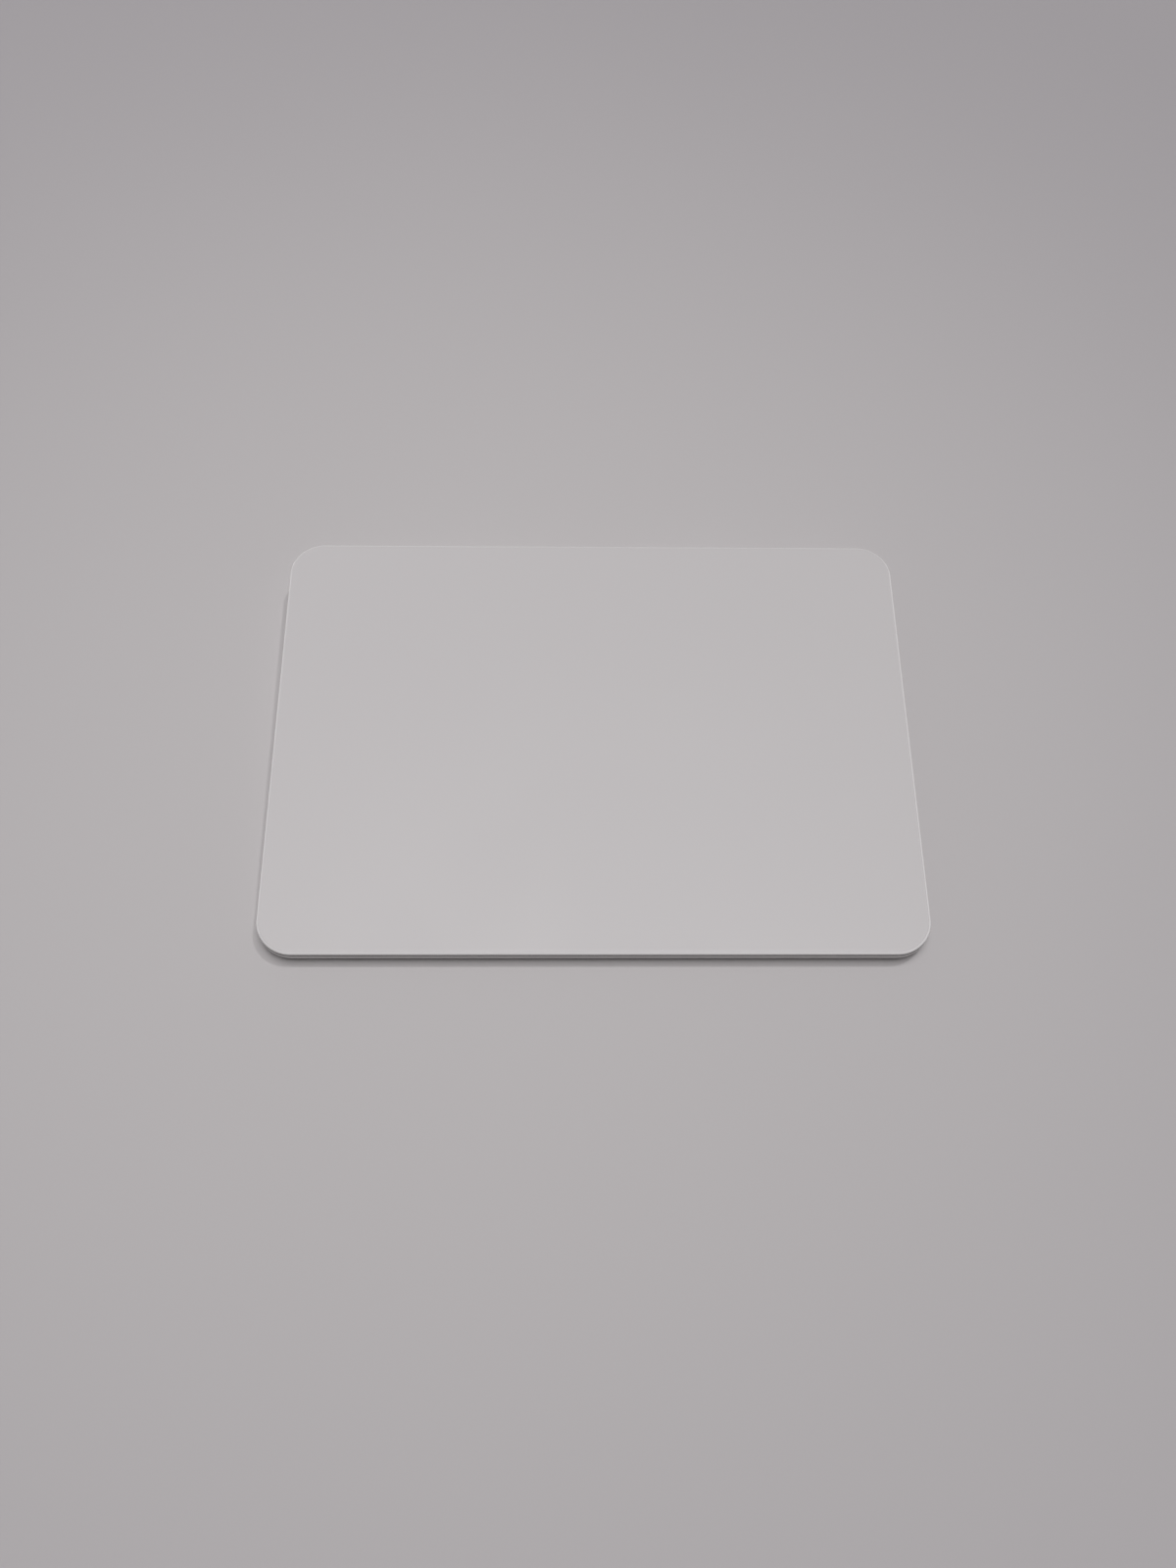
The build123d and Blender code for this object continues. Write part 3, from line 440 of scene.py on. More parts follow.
# Printed boards: dark mask over copper, with plated vias
boardLooks = {
    "circuit_board": {
        "name": "mainBoardMask", "mask": (0.006, 0.022, 0.014), "track": (0.016, 0.06, 0.036),
        "via": (0.78, 0.55, 0.22), "lines": {"Pitch": 0.00055, "Run": 0.0042, "Via Pitch": 0.0017}},
    "sensor_circuit": {
        "name": "sensorBoardMask", "mask": (0.011, 0.034, 0.022), "track": (0.024, 0.078, 0.048),
        "via": (0.8, 0.58, 0.25), "lines": {"Pitch": 0.0021, "Run": 0.03, "Via Pitch": 0.0042}},
    "small_circuit": {
        "name": "smallBoardMask", "mask": (0.006, 0.022, 0.014), "track": (0.018, 0.065, 0.04),
        "via": (0.78, 0.55, 0.22), "lines": {"Pitch": 0.0005, "Run": 0.006, "Via Pitch": 0.0012}},
}
# the holes' near black is painted shade, standing in for drill holes that are not modelled
boardLook = {
    "even": {"IOR": 1.5, "Coat Roughness": 0.18}, "trackWidth": 0.45, "drift": 1.25, "driftScale": 120.0,
    "hole": (0.01, 0.01, 0.01), "routedEdge": (0.2, 0.19, 0.085), "coat": 0.6, "roughness": (0.3, 0.42),
    "cutFacing": 0.5, "relief": 0.5, "bump": 0.5, "height": 0.00002,
}


def boardFinish(own):
    look = boardLook
    material, tree, shader = startFinish(own["name"], look["even"])
    lines = placeGroup(tree, tracks, Width=look["trackWidth"], **own["lines"])
    colour = drifting(tree, own["mask"], look)
    base = colour["Color"]
    # the near black in the middle of each via is painted shade for a drill hole that is not modelled
    for label, part in (("Tracks", own["track"]), ("Vias", own["via"]), ("Holes", look["hole"])):
        base = blendColour(tree, lines[label], base, part)
    # bare laminate shows where a board was cut
    cut = calc(tree, "<", calc(tree, "ABSOLUTE", facingUp(tree)), look["cutFacing"])
    flat = calc(tree, "-", 1.0, cut)
    metal = calc(tree, "*", flat, calc(tree, "-", lines["Vias"], lines["Holes"], clamp=True))
    coat = calc(tree, "*", look["coat"], calc(tree, "-", flat, metal))
    plug(tree, shader, {"Metallic": metal, "Coat Weight": coat})
    relief = calc(tree, "*", flat, look["relief"])
    height = calc(tree, "*", calc(tree, "+", lines["Tracks"], lines["Vias"]), relief)
    roughness = between(tree, colour["Drift Mask"], look["roughness"])
    base = blendColour(tree, cut, base, look["routedEdge"])
    dress(tree, shader, base, roughness, height, look)
    return material


# Ridged finishes: windings, flat cables, gauges; the windings' dark groove colour is painted shade between the
# turns, while the cable's and gauge's groove colours are their own lines
ridgedLooks = {
    "copper_wire": {
        "name": "woundCopper", "tone": (0.62, 0.22, 0.07), "groove": (0.12, 0.035, 0.012), "direction": (1, 0, 0),
        "pitch": 0.00022, "metal": 0.85, "roughness": 0.26, "bump": 0.9, "height": 0.00006, "coat": 0.5},
    "flat_cable": {
        "name": "flatCable", "tone": (0.42, 0.17, 0.025), "groove": (0.62, 0.33, 0.09), "direction": (1, 0, 0),
        "pitch": 0.0005, "metal": 0.0, "roughness": 0.3, "bump": 0.4, "height": 0.00001, "coat": 0.35},
    "gauge_film": {
        "name": "gaugeFilm", "tone": (0.5, 0.25, 0.05), "groove": (0.66, 0.62, 0.55), "direction": (0, 1, 0),
        "pitch": 0.0003, "metal": 0.0, "roughness": 0.28, "bump": 0.4, "height": 0.000008, "coat": 0.4},
}
ridgedLook = {"coatRoughness": 0.12, "waver": 0.12, "drift": 0.85, "driftScale": 250.0}


def ridgedFinish(own):
    look = ridgedLook
    material, tree, shader = startFinish(own["name"], {
        "Metallic": own["metal"], "Coat Weight": own["coat"], "Coat Roughness": look["coatRoughness"]})
    rows = placeGroup(tree, ridges, Direction=own["direction"], Pitch=own["pitch"], Waver=look["waver"])
    colour = drifting(tree, own["tone"], look)
    # the groove colour fills the hollows: painted shade between turns on the windings, the cable's and gauge's own
    # lines elsewhere
    base = blendColour(tree, rows["Grooves"], colour["Color"], own["groove"])
    dress(tree, shader, base, own["roughness"], rows["Height"], own)
    return material


# Battery pouch: laminated foil, a little wrinkled all over
pouchLook = {
    "even": {"Metallic": 0.7, "Coat Weight": 0.3, "Coat Roughness": 0.2},
    "tone": {"Tone": (0.27, 0.28, 0.30), "Drift": (0.22, 0.23, 0.25), "Scale": 45.0, "Specks": 0.15},
    "fine": {"Scale": 2600.0, "Stretch": (1.0, 0.3, 1.0)}, "fineShare": 0.05,
    "wrinkles": {"Scale": 180.0, "Stretch": (0.4, 1.0, 1.0), "Detail": 3.0}, "wrinkleShare": 0.8,
    "roughness": (0.24, 0.4), "bump": 0.5, "height": 0.00015,
}


def pouchFoil():
    look = pouchLook
    material, tree, shader = startFinish("pouchFoil", look["even"])
    colour = placeGroup(tree, tone, **look["tone"])
    fine = placeGroup(tree, grain, **look["fine"])
    wrinkles = placeGroup(tree, grain, **look["wrinkles"])
    height = calc(tree, "+", calc(tree, "*", wrinkles["Height"], look["wrinkleShare"]),
                  calc(tree, "*", fine["Height"], look["fineShare"]))
    roughness = between(tree, fine["Broad"], look["roughness"])
    dress(tree, shader, colour["Color"], roughness, height, look)
    return material


# Small ceramic parts with tinned ends
ceramicLook = {
    "body": (0.33, 0.20, 0.11), "tin": (0.7, 0.7, 0.69), "length": 1.0, "pitch": 1.6, "start": -32.0, "cap": 0.26,
    "drift": 0.8, "driftScale": 900.0, "grainScale": 9000.0, "roughness": (0.55, 0.25),
    "bump": 0.3, "height": 0.00001,
}


def tinnedCeramic():
    look = ceramicLook
    material, tree, shader = startFinish("tinnedCeramic", {})
    start = (look["start"] - look["pitch"] / 2) * mm
    steps = calc(tree, "/", calc(tree, "-", axesOf(tree, objectPlace(tree))["X"], start), look["pitch"] * mm)
    middle = calc(tree, "ABSOLUTE", offMiddle(tree, steps))
    ends = calc(tree, ">", middle, (look["length"] / 2 - look["cap"]) / look["pitch"])
    colour = drifting(tree, look["body"], look)
    fine = placeGroup(tree, grain, Scale=look["grainScale"])
    plug(tree, shader, {"Metallic": ends})
    rough, polish = look["roughness"]
    roughness = calc(tree, "-", rough, calc(tree, "*", ends, polish))
    base = blendColour(tree, ends, colour["Color"], look["tin"])
    dress(tree, shader, base, roughness, fine["Height"], look)
    return material


finishes = {
    "touch_white": etchedGlass(), "glass_rim": rimWithPaintedGlow(), "cell_pouch": pouchFoil(),
    "small_ceramic": tinnedCeramic(),
    **{slot: surfaceFinish(metalHeads, row) for slot, row in metalLooks.items()},
    **{slot: surfaceFinish(mouldedHeads, row) for slot, row in mouldedLooks.items()},
    **{slot: boardFinish(own) for slot, own in boardLooks.items()},
    **{slot: ridgedFinish(own) for slot, own in ridgedLooks.items()},
}
finishOf = {"sensor_board": "sensor_circuit", "protection_board": "small_circuit"}
slotOf = {name: node.material_slots[0].material.name for name, node in cadNodes.items()}
bodyOf = {name: body for body, names in frame["record"]["behaviour"]["bodies"].items() for name in names}
for name, node in cadNodes.items():
    node.material_slots[0].material = finishes[finishOf.get(name, slotOf[name])]
print("materials made:", len(finishes))


# Helpers for modelling
hair = 0.01  # mm, for parts that lie at one height or in the middle
merged = 0.000001  # m, for points in one place
softAngle = 35  # degrees, sharper edges are softened


def editMode():
    bpy.ops.object.mode_set(mode="EDIT")


def objectMode():
    bpy.ops.object.mode_set(mode="OBJECT")


def nothingSelected():
    if bpy.context.mode != "OBJECT":
        objectMode()
    bpy.ops.object.select_all(action="DESELECT")


def onlySelected(piece):
    nothingSelected()
    piece.select_set(True)
    bpy.context.view_layer.objects.active = piece


def startPiece(name, size):
    piece = bpy.context.active_object
    piece.name = piece.data.name = name
    piece.scale = size
    bpy.ops.object.transform_apply()
    return piece


def startBox(name, size, place=(0, 0, 0)):
    nothingSelected()
    bpy.ops.mesh.primitive_cube_add(size=1, location=scaled(place, mm))
    return startPiece(name, scaled(size, mm))


def startCylinder(sides, radius, height, place):
    nothingSelected()
    bpy.ops.mesh.primitive_cylinder_add(
        vertices=sides, radius=radius * mm, depth=height * mm, location=scaled(place, mm))
    return bpy.context.active_object


def choose(kind, group, holds):
    mesh = bpy.context.active_object.data
    shape = bmesh.from_edit_mesh(mesh)
    bpy.ops.mesh.select_all(action="DESELECT")
    bpy.ops.mesh.select_mode(type=kind)
    for part in getattr(shape, group):
        part.select_set(holds(part))
    bmesh.update_edit_mesh(mesh)


def chooseCorners(test):
    choose("VERT", "verts", lambda corner: test(corner.co))


def chooseEdges(test):
    # test(first point, second point)
    choose("EDGE", "edges", lambda edge: test(*(corner.co for corner in edge.verts)))


def chooseAlong(axis, least=1):
    # the edges that reach further than this along one axis, mm
    chooseEdges(lambda a, b: abs(getattr(a, axis) - getattr(b, axis)) > least * mm)


def chooseEnd(way, height):
    # the edges that lie wholly above (1) or below (-1) a height, mm
    chooseEdges(lambda a, b: min(way * a.z, way * b.z) > way * height * mm)


def chooseLevel(way, flat=0.999, also=lambda centre: True):
    # the level faces that look up (1) or down (-1)
    choose("FACE", "faces", lambda face: way * face.normal.z > flat and also(face.calc_center_median()))


def subdivide(cuts):
    bpy.ops.mesh.subdivide(number_cuts=cuts)


def roundEdges(width, steps, profile=0.5):
    bpy.ops.mesh.bevel(offset=width * mm, segments=steps, profile=profile, affect="EDGES")


def stepInward(inward, up=0):
    bpy.ops.mesh.inset(thickness=inward * mm)
    if up:
        bpy.ops.transform.translate(value=(0, 0, up * mm))


def extrudeBy(*move):
    bpy.ops.mesh.extrude_region_move(TRANSFORM_OT_translate={"value": move})


def squeeze(across, along, centre=(0, 0, 0)):
    bpy.ops.transform.resize(value=(across, along, 1), center_override=centre)


def applyModifier(piece, kind, **settings):
    onlySelected(piece)
    bpy.ops.object.modifier_add(type=kind)
    modifier = piece.modifiers[-1]
    for key, value in settings.items():
        setattr(modifier, key, value)
    bpy.ops.object.modifier_apply(modifier=modifier.name)


def softenEdges(piece, width, steps):
    applyModifier(
        piece, "BEVEL", width=width * mm, segments=steps, limit_method="ANGLE", angle_limit=math.radians(softAngle))


def cutAway(piece, cutter):
    applyModifier(piece, "BOOLEAN", object=cutter, operation="DIFFERENCE", solver="EXACT")
    bpy.data.objects.remove(cutter)


def finishPiece(piece, body, slot, stands=(), material=None, angle=softAngle):
    onlySelected(piece)
    bpy.ops.object.transform_apply()
    bpy.ops.object.shade_smooth_by_angle(angle=math.radians(angle))
    # flat faces stay flat beside their rounded edges
    applyModifier(piece, "WEIGHTED_NORMAL", keep_sharp=True)
    if not piece.data.materials:
        piece.data.materials.append(material or finishes[slot])
    if body:
        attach(piece, body)
    if stands:
        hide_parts(*stands)
    nothingSelected()


def copyOf(node, name):
    # a CAD mesh is loose triangles, so its copy is merged and its flat faces are joined
    piece = placeObject(name, cadNodes[node].data.copy())
    piece.data.name = name
    onlySelected(piece)
    bpy.ops.mesh.customdata_custom_splitnormals_clear()
    editMode()
    bpy.ops.mesh.select_all(action="SELECT")
    bpy.ops.mesh.remove_doubles(threshold=merged)
    bpy.ops.mesh.dissolve_limited(angle_limit=math.radians(0.3))
    objectMode()
    return piece


def separateBoxes(node):
    # the lowest and highest corner of each loose solid in a CAD node, mm
    copyOf(node, "looseSolids")
    bpy.ops.mesh.separate(type="LOOSE")
    parts = list(bpy.context.selected_objects)
    boxes = []
    for part in parts:
        points = [corner.co for corner in part.data.vertices]
        low, high = (Vector([pick(point[axis] for point in points) for axis in range(3)]) for pick in (min, max))
        boxes.append((low / mm, high / mm))
    for part in parts:
        bpy.data.meshes.remove(part.data)
    return sorted(boxes, key=lambda pair: tuple(pair[0]))


def joinPieces(parts, name):
    nothingSelected()
    for part in parts:
        part.select_set(True)
    bpy.context.view_layer.objects.active = parts[0]
    bpy.ops.object.join()
    parts[0].name = parts[0].data.name = name
    return parts[0]


def titled(name):
    return name.title().replace("_", "")


# Touch plate: etched glass with a polished round rim, whose steep faces are painted near white as a painted glow of
# light through the glass edge
plateShape = {
    "width": 160.0, "length": 114.96, "thickness": 0.8, "corner": 8.7, "cornerSteps": 32,
    "rimRound": 0.6, "rimSteps": 10, "rimProfile": 0.4, "polishedLand": 0.1, "lip": 0.15, "lipBreadth": 1.3,
    "lipEdge": 0.06, "seamSlack": 0.1, "flat": 0.9999, "etchedArea": 0.001,  # m2
    "frontHeight": 4.9, "slope": 2.9891, "depth": 114.9,
}
slope = math.radians(plateShape["slope"])


def makeTouchPlate():
    shape = plateShape
    half = shape["thickness"] / 2
    piece = startBox("touchPlateGlass", (shape["width"], shape["length"], shape["thickness"]), (0, 0, -half))
    editMode()
    chooseAlong("z", half)
    roundEdges(shape["corner"], shape["cornerSteps"])
    chooseEnd(1, -half)
    roundEdges(shape["rimRound"], shape["rimSteps"], shape["rimProfile"])
    chooseLevel(1, shape["flat"])
    stepInward(shape["polishedLand"])
    # a low lip runs round the underside
    chooseLevel(-1, shape["flat"])
    stepInward(shape["lipBreadth"])
    chooseLevel(-1, shape["flat"], lambda centre: centre.xy.length > mm)
    extrudeBy(0, 0, -shape["lip"] * mm)
    # its edges are rounded, but not the seams that cross it at the corners
    low = (-shape["thickness"] - shape["lip"]) * mm + merged
    across, slack = shape["lipBreadth"] * mm, shape["seamSlack"] * mm
    chooseEdges(lambda a, b: a.z < low and b.z < low and abs((a - b).length - across) > slack)
    roundEdges(shape["lipEdge"], 2)
    objectMode()
    piece.data.materials.append(finishes["touch_white"])
    piece.data.materials.append(finishes["glass_rim"])
    for face in piece.data.polygons:
        face.material_index = 0 if face.area > shape["etchedArea"] else 1
    piece.rotation_euler = (slope, 0, 0)
    middle = Vector((0, -shape["depth"] / 2, shape["frontHeight"]))
    halfLength = shape["depth"] / math.cos(slope) / 2
    piece.location = (middle + Vector((0, math.cos(slope), math.sin(slope))) * halfLength) * mm
    finishPiece(piece, "touch_plate", "touch_white", ["touch_glass"], angle=30)


makeTouchPlate()
print("touch plate made")

# Pieces whose CAD shape is right but for its sharp edges: edge width in mm
softEdges = {
    "switch_slider": ("switchNubRounded", 0.16), "port_shell": ("portShellRolled", 0.1),
    "port_strap": ("portStrapPressed", 0.07), "switch_body": ("switchBodyMoulded", 0.12),
    "armature": ("armatureGround", 0.15), "haptic_core_left": ("hapticCoreLeftPressed", 0.08),
    "haptic_core_right": ("hapticCoreRightPressed", 0.08), "haptic_bracket": ("hapticBracketPressed", 0.06),
    "flexure_tabs": ("flexureTabsPressed", 0.08), "flexure_rivets": ("flexureRivetsDomed", 0.12),
    "sensor_socket": ("sensorSocketMoulded", 0.1), "sensor_plug": ("sensorPlugMoulded", 0.1),
    "haptic_socket": ("hapticSocketMoulded", 0.1), "battery_socket": ("batterySocketMoulded", 0.1),
    "touch_chips": ("touchChipsMoulded", 0.06), "processor_chip": ("processorChipMoulded", 0.06),
    "board_chips": ("boardChipsMoulded", 0.06), "board_parts": ("boardPartsSoft", 0.05),
    "shield_can": ("shieldCanDrawn", 0.14), "antenna_carrier": ("antennaCarrierMoulded", 0.18),
    "main_board": ("mainBoardRouted", 0.05), "protection_board": ("protectionBoardRouted", 0.05),
    "cell_tabs": ("cellTabsWelded", 0.04),
}
fineWork = {
    "lidGroove": ((0.45, 0), (0.1, -0.08), (0.12, 0), (0.1, 0.08)),
    "dimple": 0.32, "dimpleSides": 32, "dimpleDepth": 0.06, "dimplePlace": 0.85,
}


def grooveLid(piece, node):
    # a pressed groove runs round the lid
    top = max(corner.co.z for corner in piece.data.vertices) - hair * mm
    editMode()
    chooseLevel(1, also=lambda centre: centre.z > top)
    for inward, up in fineWork["lidGroove"]:
        stepInward(inward, up)
    objectMode()


def dimpleChips(piece, node):
    # a moulded dimple marks the first corner of each chip; the touch chips hang face down
    work = fineWork
    inward = work["dimplePlace"]
    for low, high in separateBoxes(node):
        if node == "touch_chips":
            y, face = low.y + inward, low.z + inward * math.tan(slope)
        else:
            y, face = high.y - inward, high.z
        place = (low.x + inward, y, face)
        cutAway(piece, startCylinder(work["dimpleSides"], work["dimple"], 2 * work["dimpleDepth"], place))


fineWays = {
    "shield_can": grooveLid, "processor_chip": dimpleChips, "board_chips": dimpleChips, "touch_chips": dimpleChips}


def makeSoftEdges():
    for node, (name, width) in softEdges.items():
        piece = copyOf(node, name)
        softenEdges(piece, width, 2)
        if node in fineWays:
            fineWays[node](piece, node)
        finishPiece(piece, bodyOf[node], slotOf[node], [node])


makeSoftEdges()
print("soft edges made:", len(softEdges))

# Screws: a turned head with a lobed drive, and a ridged shank
screwHeads = ("name", "head", "headHeight", "shank", "drive", "up")
screwShapes = {
    "board_screws": ("boardScrewsTurned", 1.2, 0.4, 0.5, 0.62, True),
    "port_screws": ("portScrewsTurned", 1.2, 0.4, 0.5, 0.62, True),
    "haptic_screws": ("hapticScrewsTurned", 1.3, 0.45, 0.7, 0.7, True),
    "tab_screws": ("tabScrewsTurned", 1.1, 0.3, 0.55, 0.55, False),
    "armature_screws": ("armatureScrewsTurned", 1.0, 0.3, 0.5, 0.5, False),
}
screwThread = {
    "sides": 36, "pitch": 0.25, "depth": 0.07, "driveDepth": 0.6, "driveReach": 1.05, "waist": 0.7, "lobes": 6,
    "lobeEdge": -0.2, "headRound": 0.08, "flat": 0.9,
}


def modelScrew(shape, length):
    # head top at the origin, shank down
    thread = screwThread
    flat, near = thread["flat"], hair * mm
    screw = startCylinder(thread["sides"], shape["head"], shape["headHeight"], (0, 0, -shape["headHeight"] / 2))
    bpy.ops.object.transform_apply()

    def inMiddle(centre):
        return centre.xy.length < near

    def betweenLobes(place):
        lobe = math.cos(thread["lobes"] * math.atan2(place.y, place.x))
        return place.z > -near and place.xy.length < rim and lobe < thread["lobeEdge"]

    editMode()
    # a lobed drive sunk in the head
    chooseLevel(1, flat)
    stepInward(shape["head"] - shape["drive"])
    rim = shape["drive"] * thread["driveReach"] * mm
    chooseCorners(betweenLobes)
    squeeze(thread["waist"], thread["waist"])
    chooseLevel(1, flat, inMiddle)
    extrudeBy(0, 0, -shape["headHeight"] * thread["driveDepth"] * mm)
    # shank with ridges
    chooseLevel(-1, flat)
    stepInward(shape["head"] - shape["shank"])
    low = -shape["headHeight"] * mm
    chooseLevel(-1, flat, inMiddle)
    run = length - shape["headHeight"]
    steps = max(2, 2 * round(run / thread["pitch"]))
    root = 1 - thread["depth"] / shape["shank"]
    for step in range(steps):
        extrudeBy(0, 0, -run / steps * mm)
        share = root if step % 2 == 0 else 1 / root
        squeeze(share, share, (0, 0, low))
    outer = (shape["head"] - hair) * mm
    chooseEdges(lambda a, b: a.xy.length > outer and b.xy.length > outer and abs(a.z - b.z) < merged)
    roundEdges(thread["headRound"], 3)
    objectMode()
    return screw


def makeScrews():
    for node, row in screwShapes.items():
        shape = dict(zip(screwHeads, row))
        screws = []
        for low, high in separateBoxes(node):
            screw = modelScrew(shape, high.z - low.z)
            if not shape["up"]:
                screw.rotation_euler = (math.pi, 0, 0)
            middle = (low + high) / 2
            screw.location = (middle.x * mm, middle.y * mm, (high.z if shape["up"] else low.z) * mm)
            screws.append(screw)
        finishPiece(joinPieces(screws, shape["name"]), bodyOf[node], slotOf[node], [node], angle=30)


makeScrews()
print("screws made")


# Where a point of the sloping plate lies: x and y as on the desk, drop square to the surface, mm
def onPlate(x, y, drop):
    height = plateShape["frontHeight"] + (y + plateShape["depth"] / 2) * math.tan(slope)
    return Vector((x, y + drop * math.sin(slope), height - drop * math.cos(slope)))


def layOnPlate(piece, x, y, drop):
    # the piece was made round the origin; its middle goes to this place, square to the plate
    piece.rotation_euler = (slope, 0, 0)
    piece.location = onPlate(x, y, drop) * mm


# Corner sets: leaf springs with their gauges, which sit between the gel pads and the plate
cornerShape = {
    "places": {"front_left": (-1, -1), "front_right": (1, -1), "back_left": (-1, 1), "back_right": (1, 1)},
    "padX": 70.8, "padY": 45.55, "leafX": 63.8, "leafSize": (21.0, 7.0, 0.3), "leafDrop": 2.05, "leafCuts": 41,
    "freeStart": 67.3, "freeEnd": 58.3, "waist": 0.8, "waistRows": 10, "waistStep": 0.25,
    "rivetX": 55.8, "rivetSpacing": 3.6, "rivetHole": 0.55, "rivetSides": 32,
    "gaugeX": 62.8, "gaugeDrop": 1.86, "gaugeSize": (5.0, 3.5, 0.08), "gaugeCuts": 11, "gaugeEdge": 0.03,
    "gelSize": (7.0, 6.0, 0.35), "gelDrop": 2.375, "gelCorner": 0.8, "gelSteps": 6, "gelCuts": 3, "gelSide": 0.2,
    "gelTucks": ((0.17, 0.93), (0.08, 0.985)), "gelReach": 0.02,
}


def modelLeaf(name, side):
    shape = cornerShape
    leaf = startBox(name, shape["leafSize"])
    editMode()
    chooseAlong("x")
    subdivide(shape["leafCuts"])
    # the free length is narrower, with a soft run at both ends
    middle = (shape["freeStart"] + shape["freeEnd"]) / 2 - shape["leafX"]
    reach = (shape["freeStart"] - shape["freeEnd"]) / 2
    rows = shape["waistRows"]
    for row in range(rows):
        half = (reach - row * shape["waistStep"]) * mm
        chooseCorners(lambda place: abs(place.x - side * middle * mm) < half)
        squeeze(1, shape["waist"] ** (1 / rows))
    objectMode()
    for end in (-1, 1):
        place = (side * (shape["rivetX"] - shape["leafX"]), end * shape["rivetSpacing"] / 2, 0)
        cutAway(leaf, startCylinder(shape["rivetSides"], shape["rivetHole"], 2, place))
    return leaf


def makeGelPad(tag, side, y):
    # a soft pad, tucked in where it is stuck and fullest half way up
    shape = cornerShape
    pad = startBox("gelPad" + tag, shape["gelSize"])
    editMode()
    chooseAlong("z", shape["gelSide"])
    roundEdges(shape["gelCorner"], shape["gelSteps"])
    chooseAlong("z", shape["gelSide"])
    subdivide(shape["gelCuts"])
    for level, tuck in shape["gelTucks"]:
        for sign in (-1, 1):
            chooseCorners(lambda place: abs(place.z - sign * level * mm) < shape["gelReach"] * mm)
            squeeze(tuck, tuck)
    objectMode()
    layOnPlate(pad, side * shape["padX"], y, shape["gelDrop"])
    finishPiece(pad, None, "gel", ["gel_pads"], angle=60)
    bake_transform(pad)


def makeCorners():
    shape = cornerShape
    for name, (side, end) in shape["places"].items():
        tag = titled(name)
        y = end * shape["padY"]
        leaf = modelLeaf("flexure" + tag, side)
        layOnPlate(leaf, side * shape["leafX"], y, shape["leafDrop"])
        finishPiece(leaf, None, "spring_steel", ["flexure_" + name])
        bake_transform(leaf)
        gauge = startBox("strainGauge" + tag, shape["gaugeSize"])
        editMode()
        chooseAlong("x")
        subdivide(shape["gaugeCuts"])
        objectMode()
        softenEdges(gauge, shape["gaugeEdge"], 1)
        layOnPlate(gauge, side * shape["gaugeX"], y, shape["gaugeDrop"])
        finishPiece(gauge, None, "gauge_film", ["strain_gauges"])
        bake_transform(gauge)
        makeGelPad(tag, side, y)


makeCorners()
print("corner sets made")

# Sensor cable: a loop in two halves, so that it follows the plate both sideways and down
cableShape = {
    "x": -26.0, "breadth": 6.0, "thickness": 0.2, "back": 48.55, "front": 38.55, "bend": 1.2, "low": 4.5,
    "middle": 6.035, "highFront": 7.51, "grip": 3, "steps": 8,
}


def makeCableHalf(name, start, firstWay, corner, turn, end):
    # a short edge is extruded along its run, spun round its bend, and extruded to its end
    shape = cableShape
    x, steps = shape["x"], shape["steps"]
    nothingSelected()
    bpy.ops.mesh.primitive_plane_add(size=1, location=(0, 0, 0))
    piece = startPiece(name, (shape["breadth"] * mm, 1 * mm, 1))
    editMode()
    chooseCorners(lambda place: place.y > 0)
    bpy.ops.mesh.delete(type="VERT")
    bpy.ops.mesh.select_all(action="SELECT")
    bpy.ops.transform.translate(value=(x * mm, 0.5 * mm + start[0] * mm, start[1] * mm))
    for step in range(steps):
        extrudeBy(0, *(part / steps * mm for part in firstWay))
    bpy.ops.mesh.spin(
        steps=steps, angle=math.radians(turn), center=(x * mm, corner[0] * mm, corner[1] * mm), axis=(1, 0, 0))
    shapeNow = bmesh.from_edit_mesh(piece.data)
    here = sum((corner.co for corner in shapeNow.verts if corner.select), Vector()) / 2
    last = Vector((here.x, end[0] * mm, end[1] * mm)) - here
    for step in range(steps):
        extrudeBy(*(last / steps))
    bpy.ops.mesh.select_all(action="SELECT")
    bpy.ops.mesh.remove_doubles(threshold=merged)
    bpy.ops.mesh.normals_make_consistent(inside=False)
    objectMode()
    applyModifier(piece, "SOLIDIFY", thickness=shape["thickness"] * mm, offset=0)
    finishPiece(piece, None, "flat_cable", ["sensor_cable"], angle=40)
    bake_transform(piece)


def makeSensorCable():
    shape = cableShape
    back, front, low, highFront = (shape[key] for key in ("back", "front", "low", "highFront"))
    turn = front + shape["bend"]
    # the upper run slopes with the plate, so its bend is a little less than a right angle
    tangent = shape["bend"] * math.tan(math.radians(90 - plateShape["slope"]) / 2)
    highBack = highFront + (back - front) * math.tan(slope)
    seam = (front, shape["middle"])
    makeCableHalf(
        "sensorCableLower", (back, low), (turn - back, 0), (turn, low + shape["bend"]), 90, seam)
    bendEnd = (front + tangent * math.cos(slope), highFront + tangent * math.sin(slope))
    makeCableHalf(
        "sensorCableUpper", (back, highBack), (bendEnd[0] - back, bendEnd[1] - highBack),
        (turn, highFront - tangent), plateShape["slope"] - 90, seam)


makeSensorCable()
print("sensor cable made")

# Coils: turns of wire side by side, wound round the middle leg of each core
coilShape = {
    "x": 11.35, "y": -11.03, "low": 2.45, "size": (14.8, 9.4, 2.0), "round": 0.35, "roundSteps": 4, "turns": 49,
    "groove": 0.05, "bore": (5.1, 1.3), "tapeSize": (1.6, 8.2, 0.05), "tapeInward": 1.5, "tapeEdge": 0.02,
}


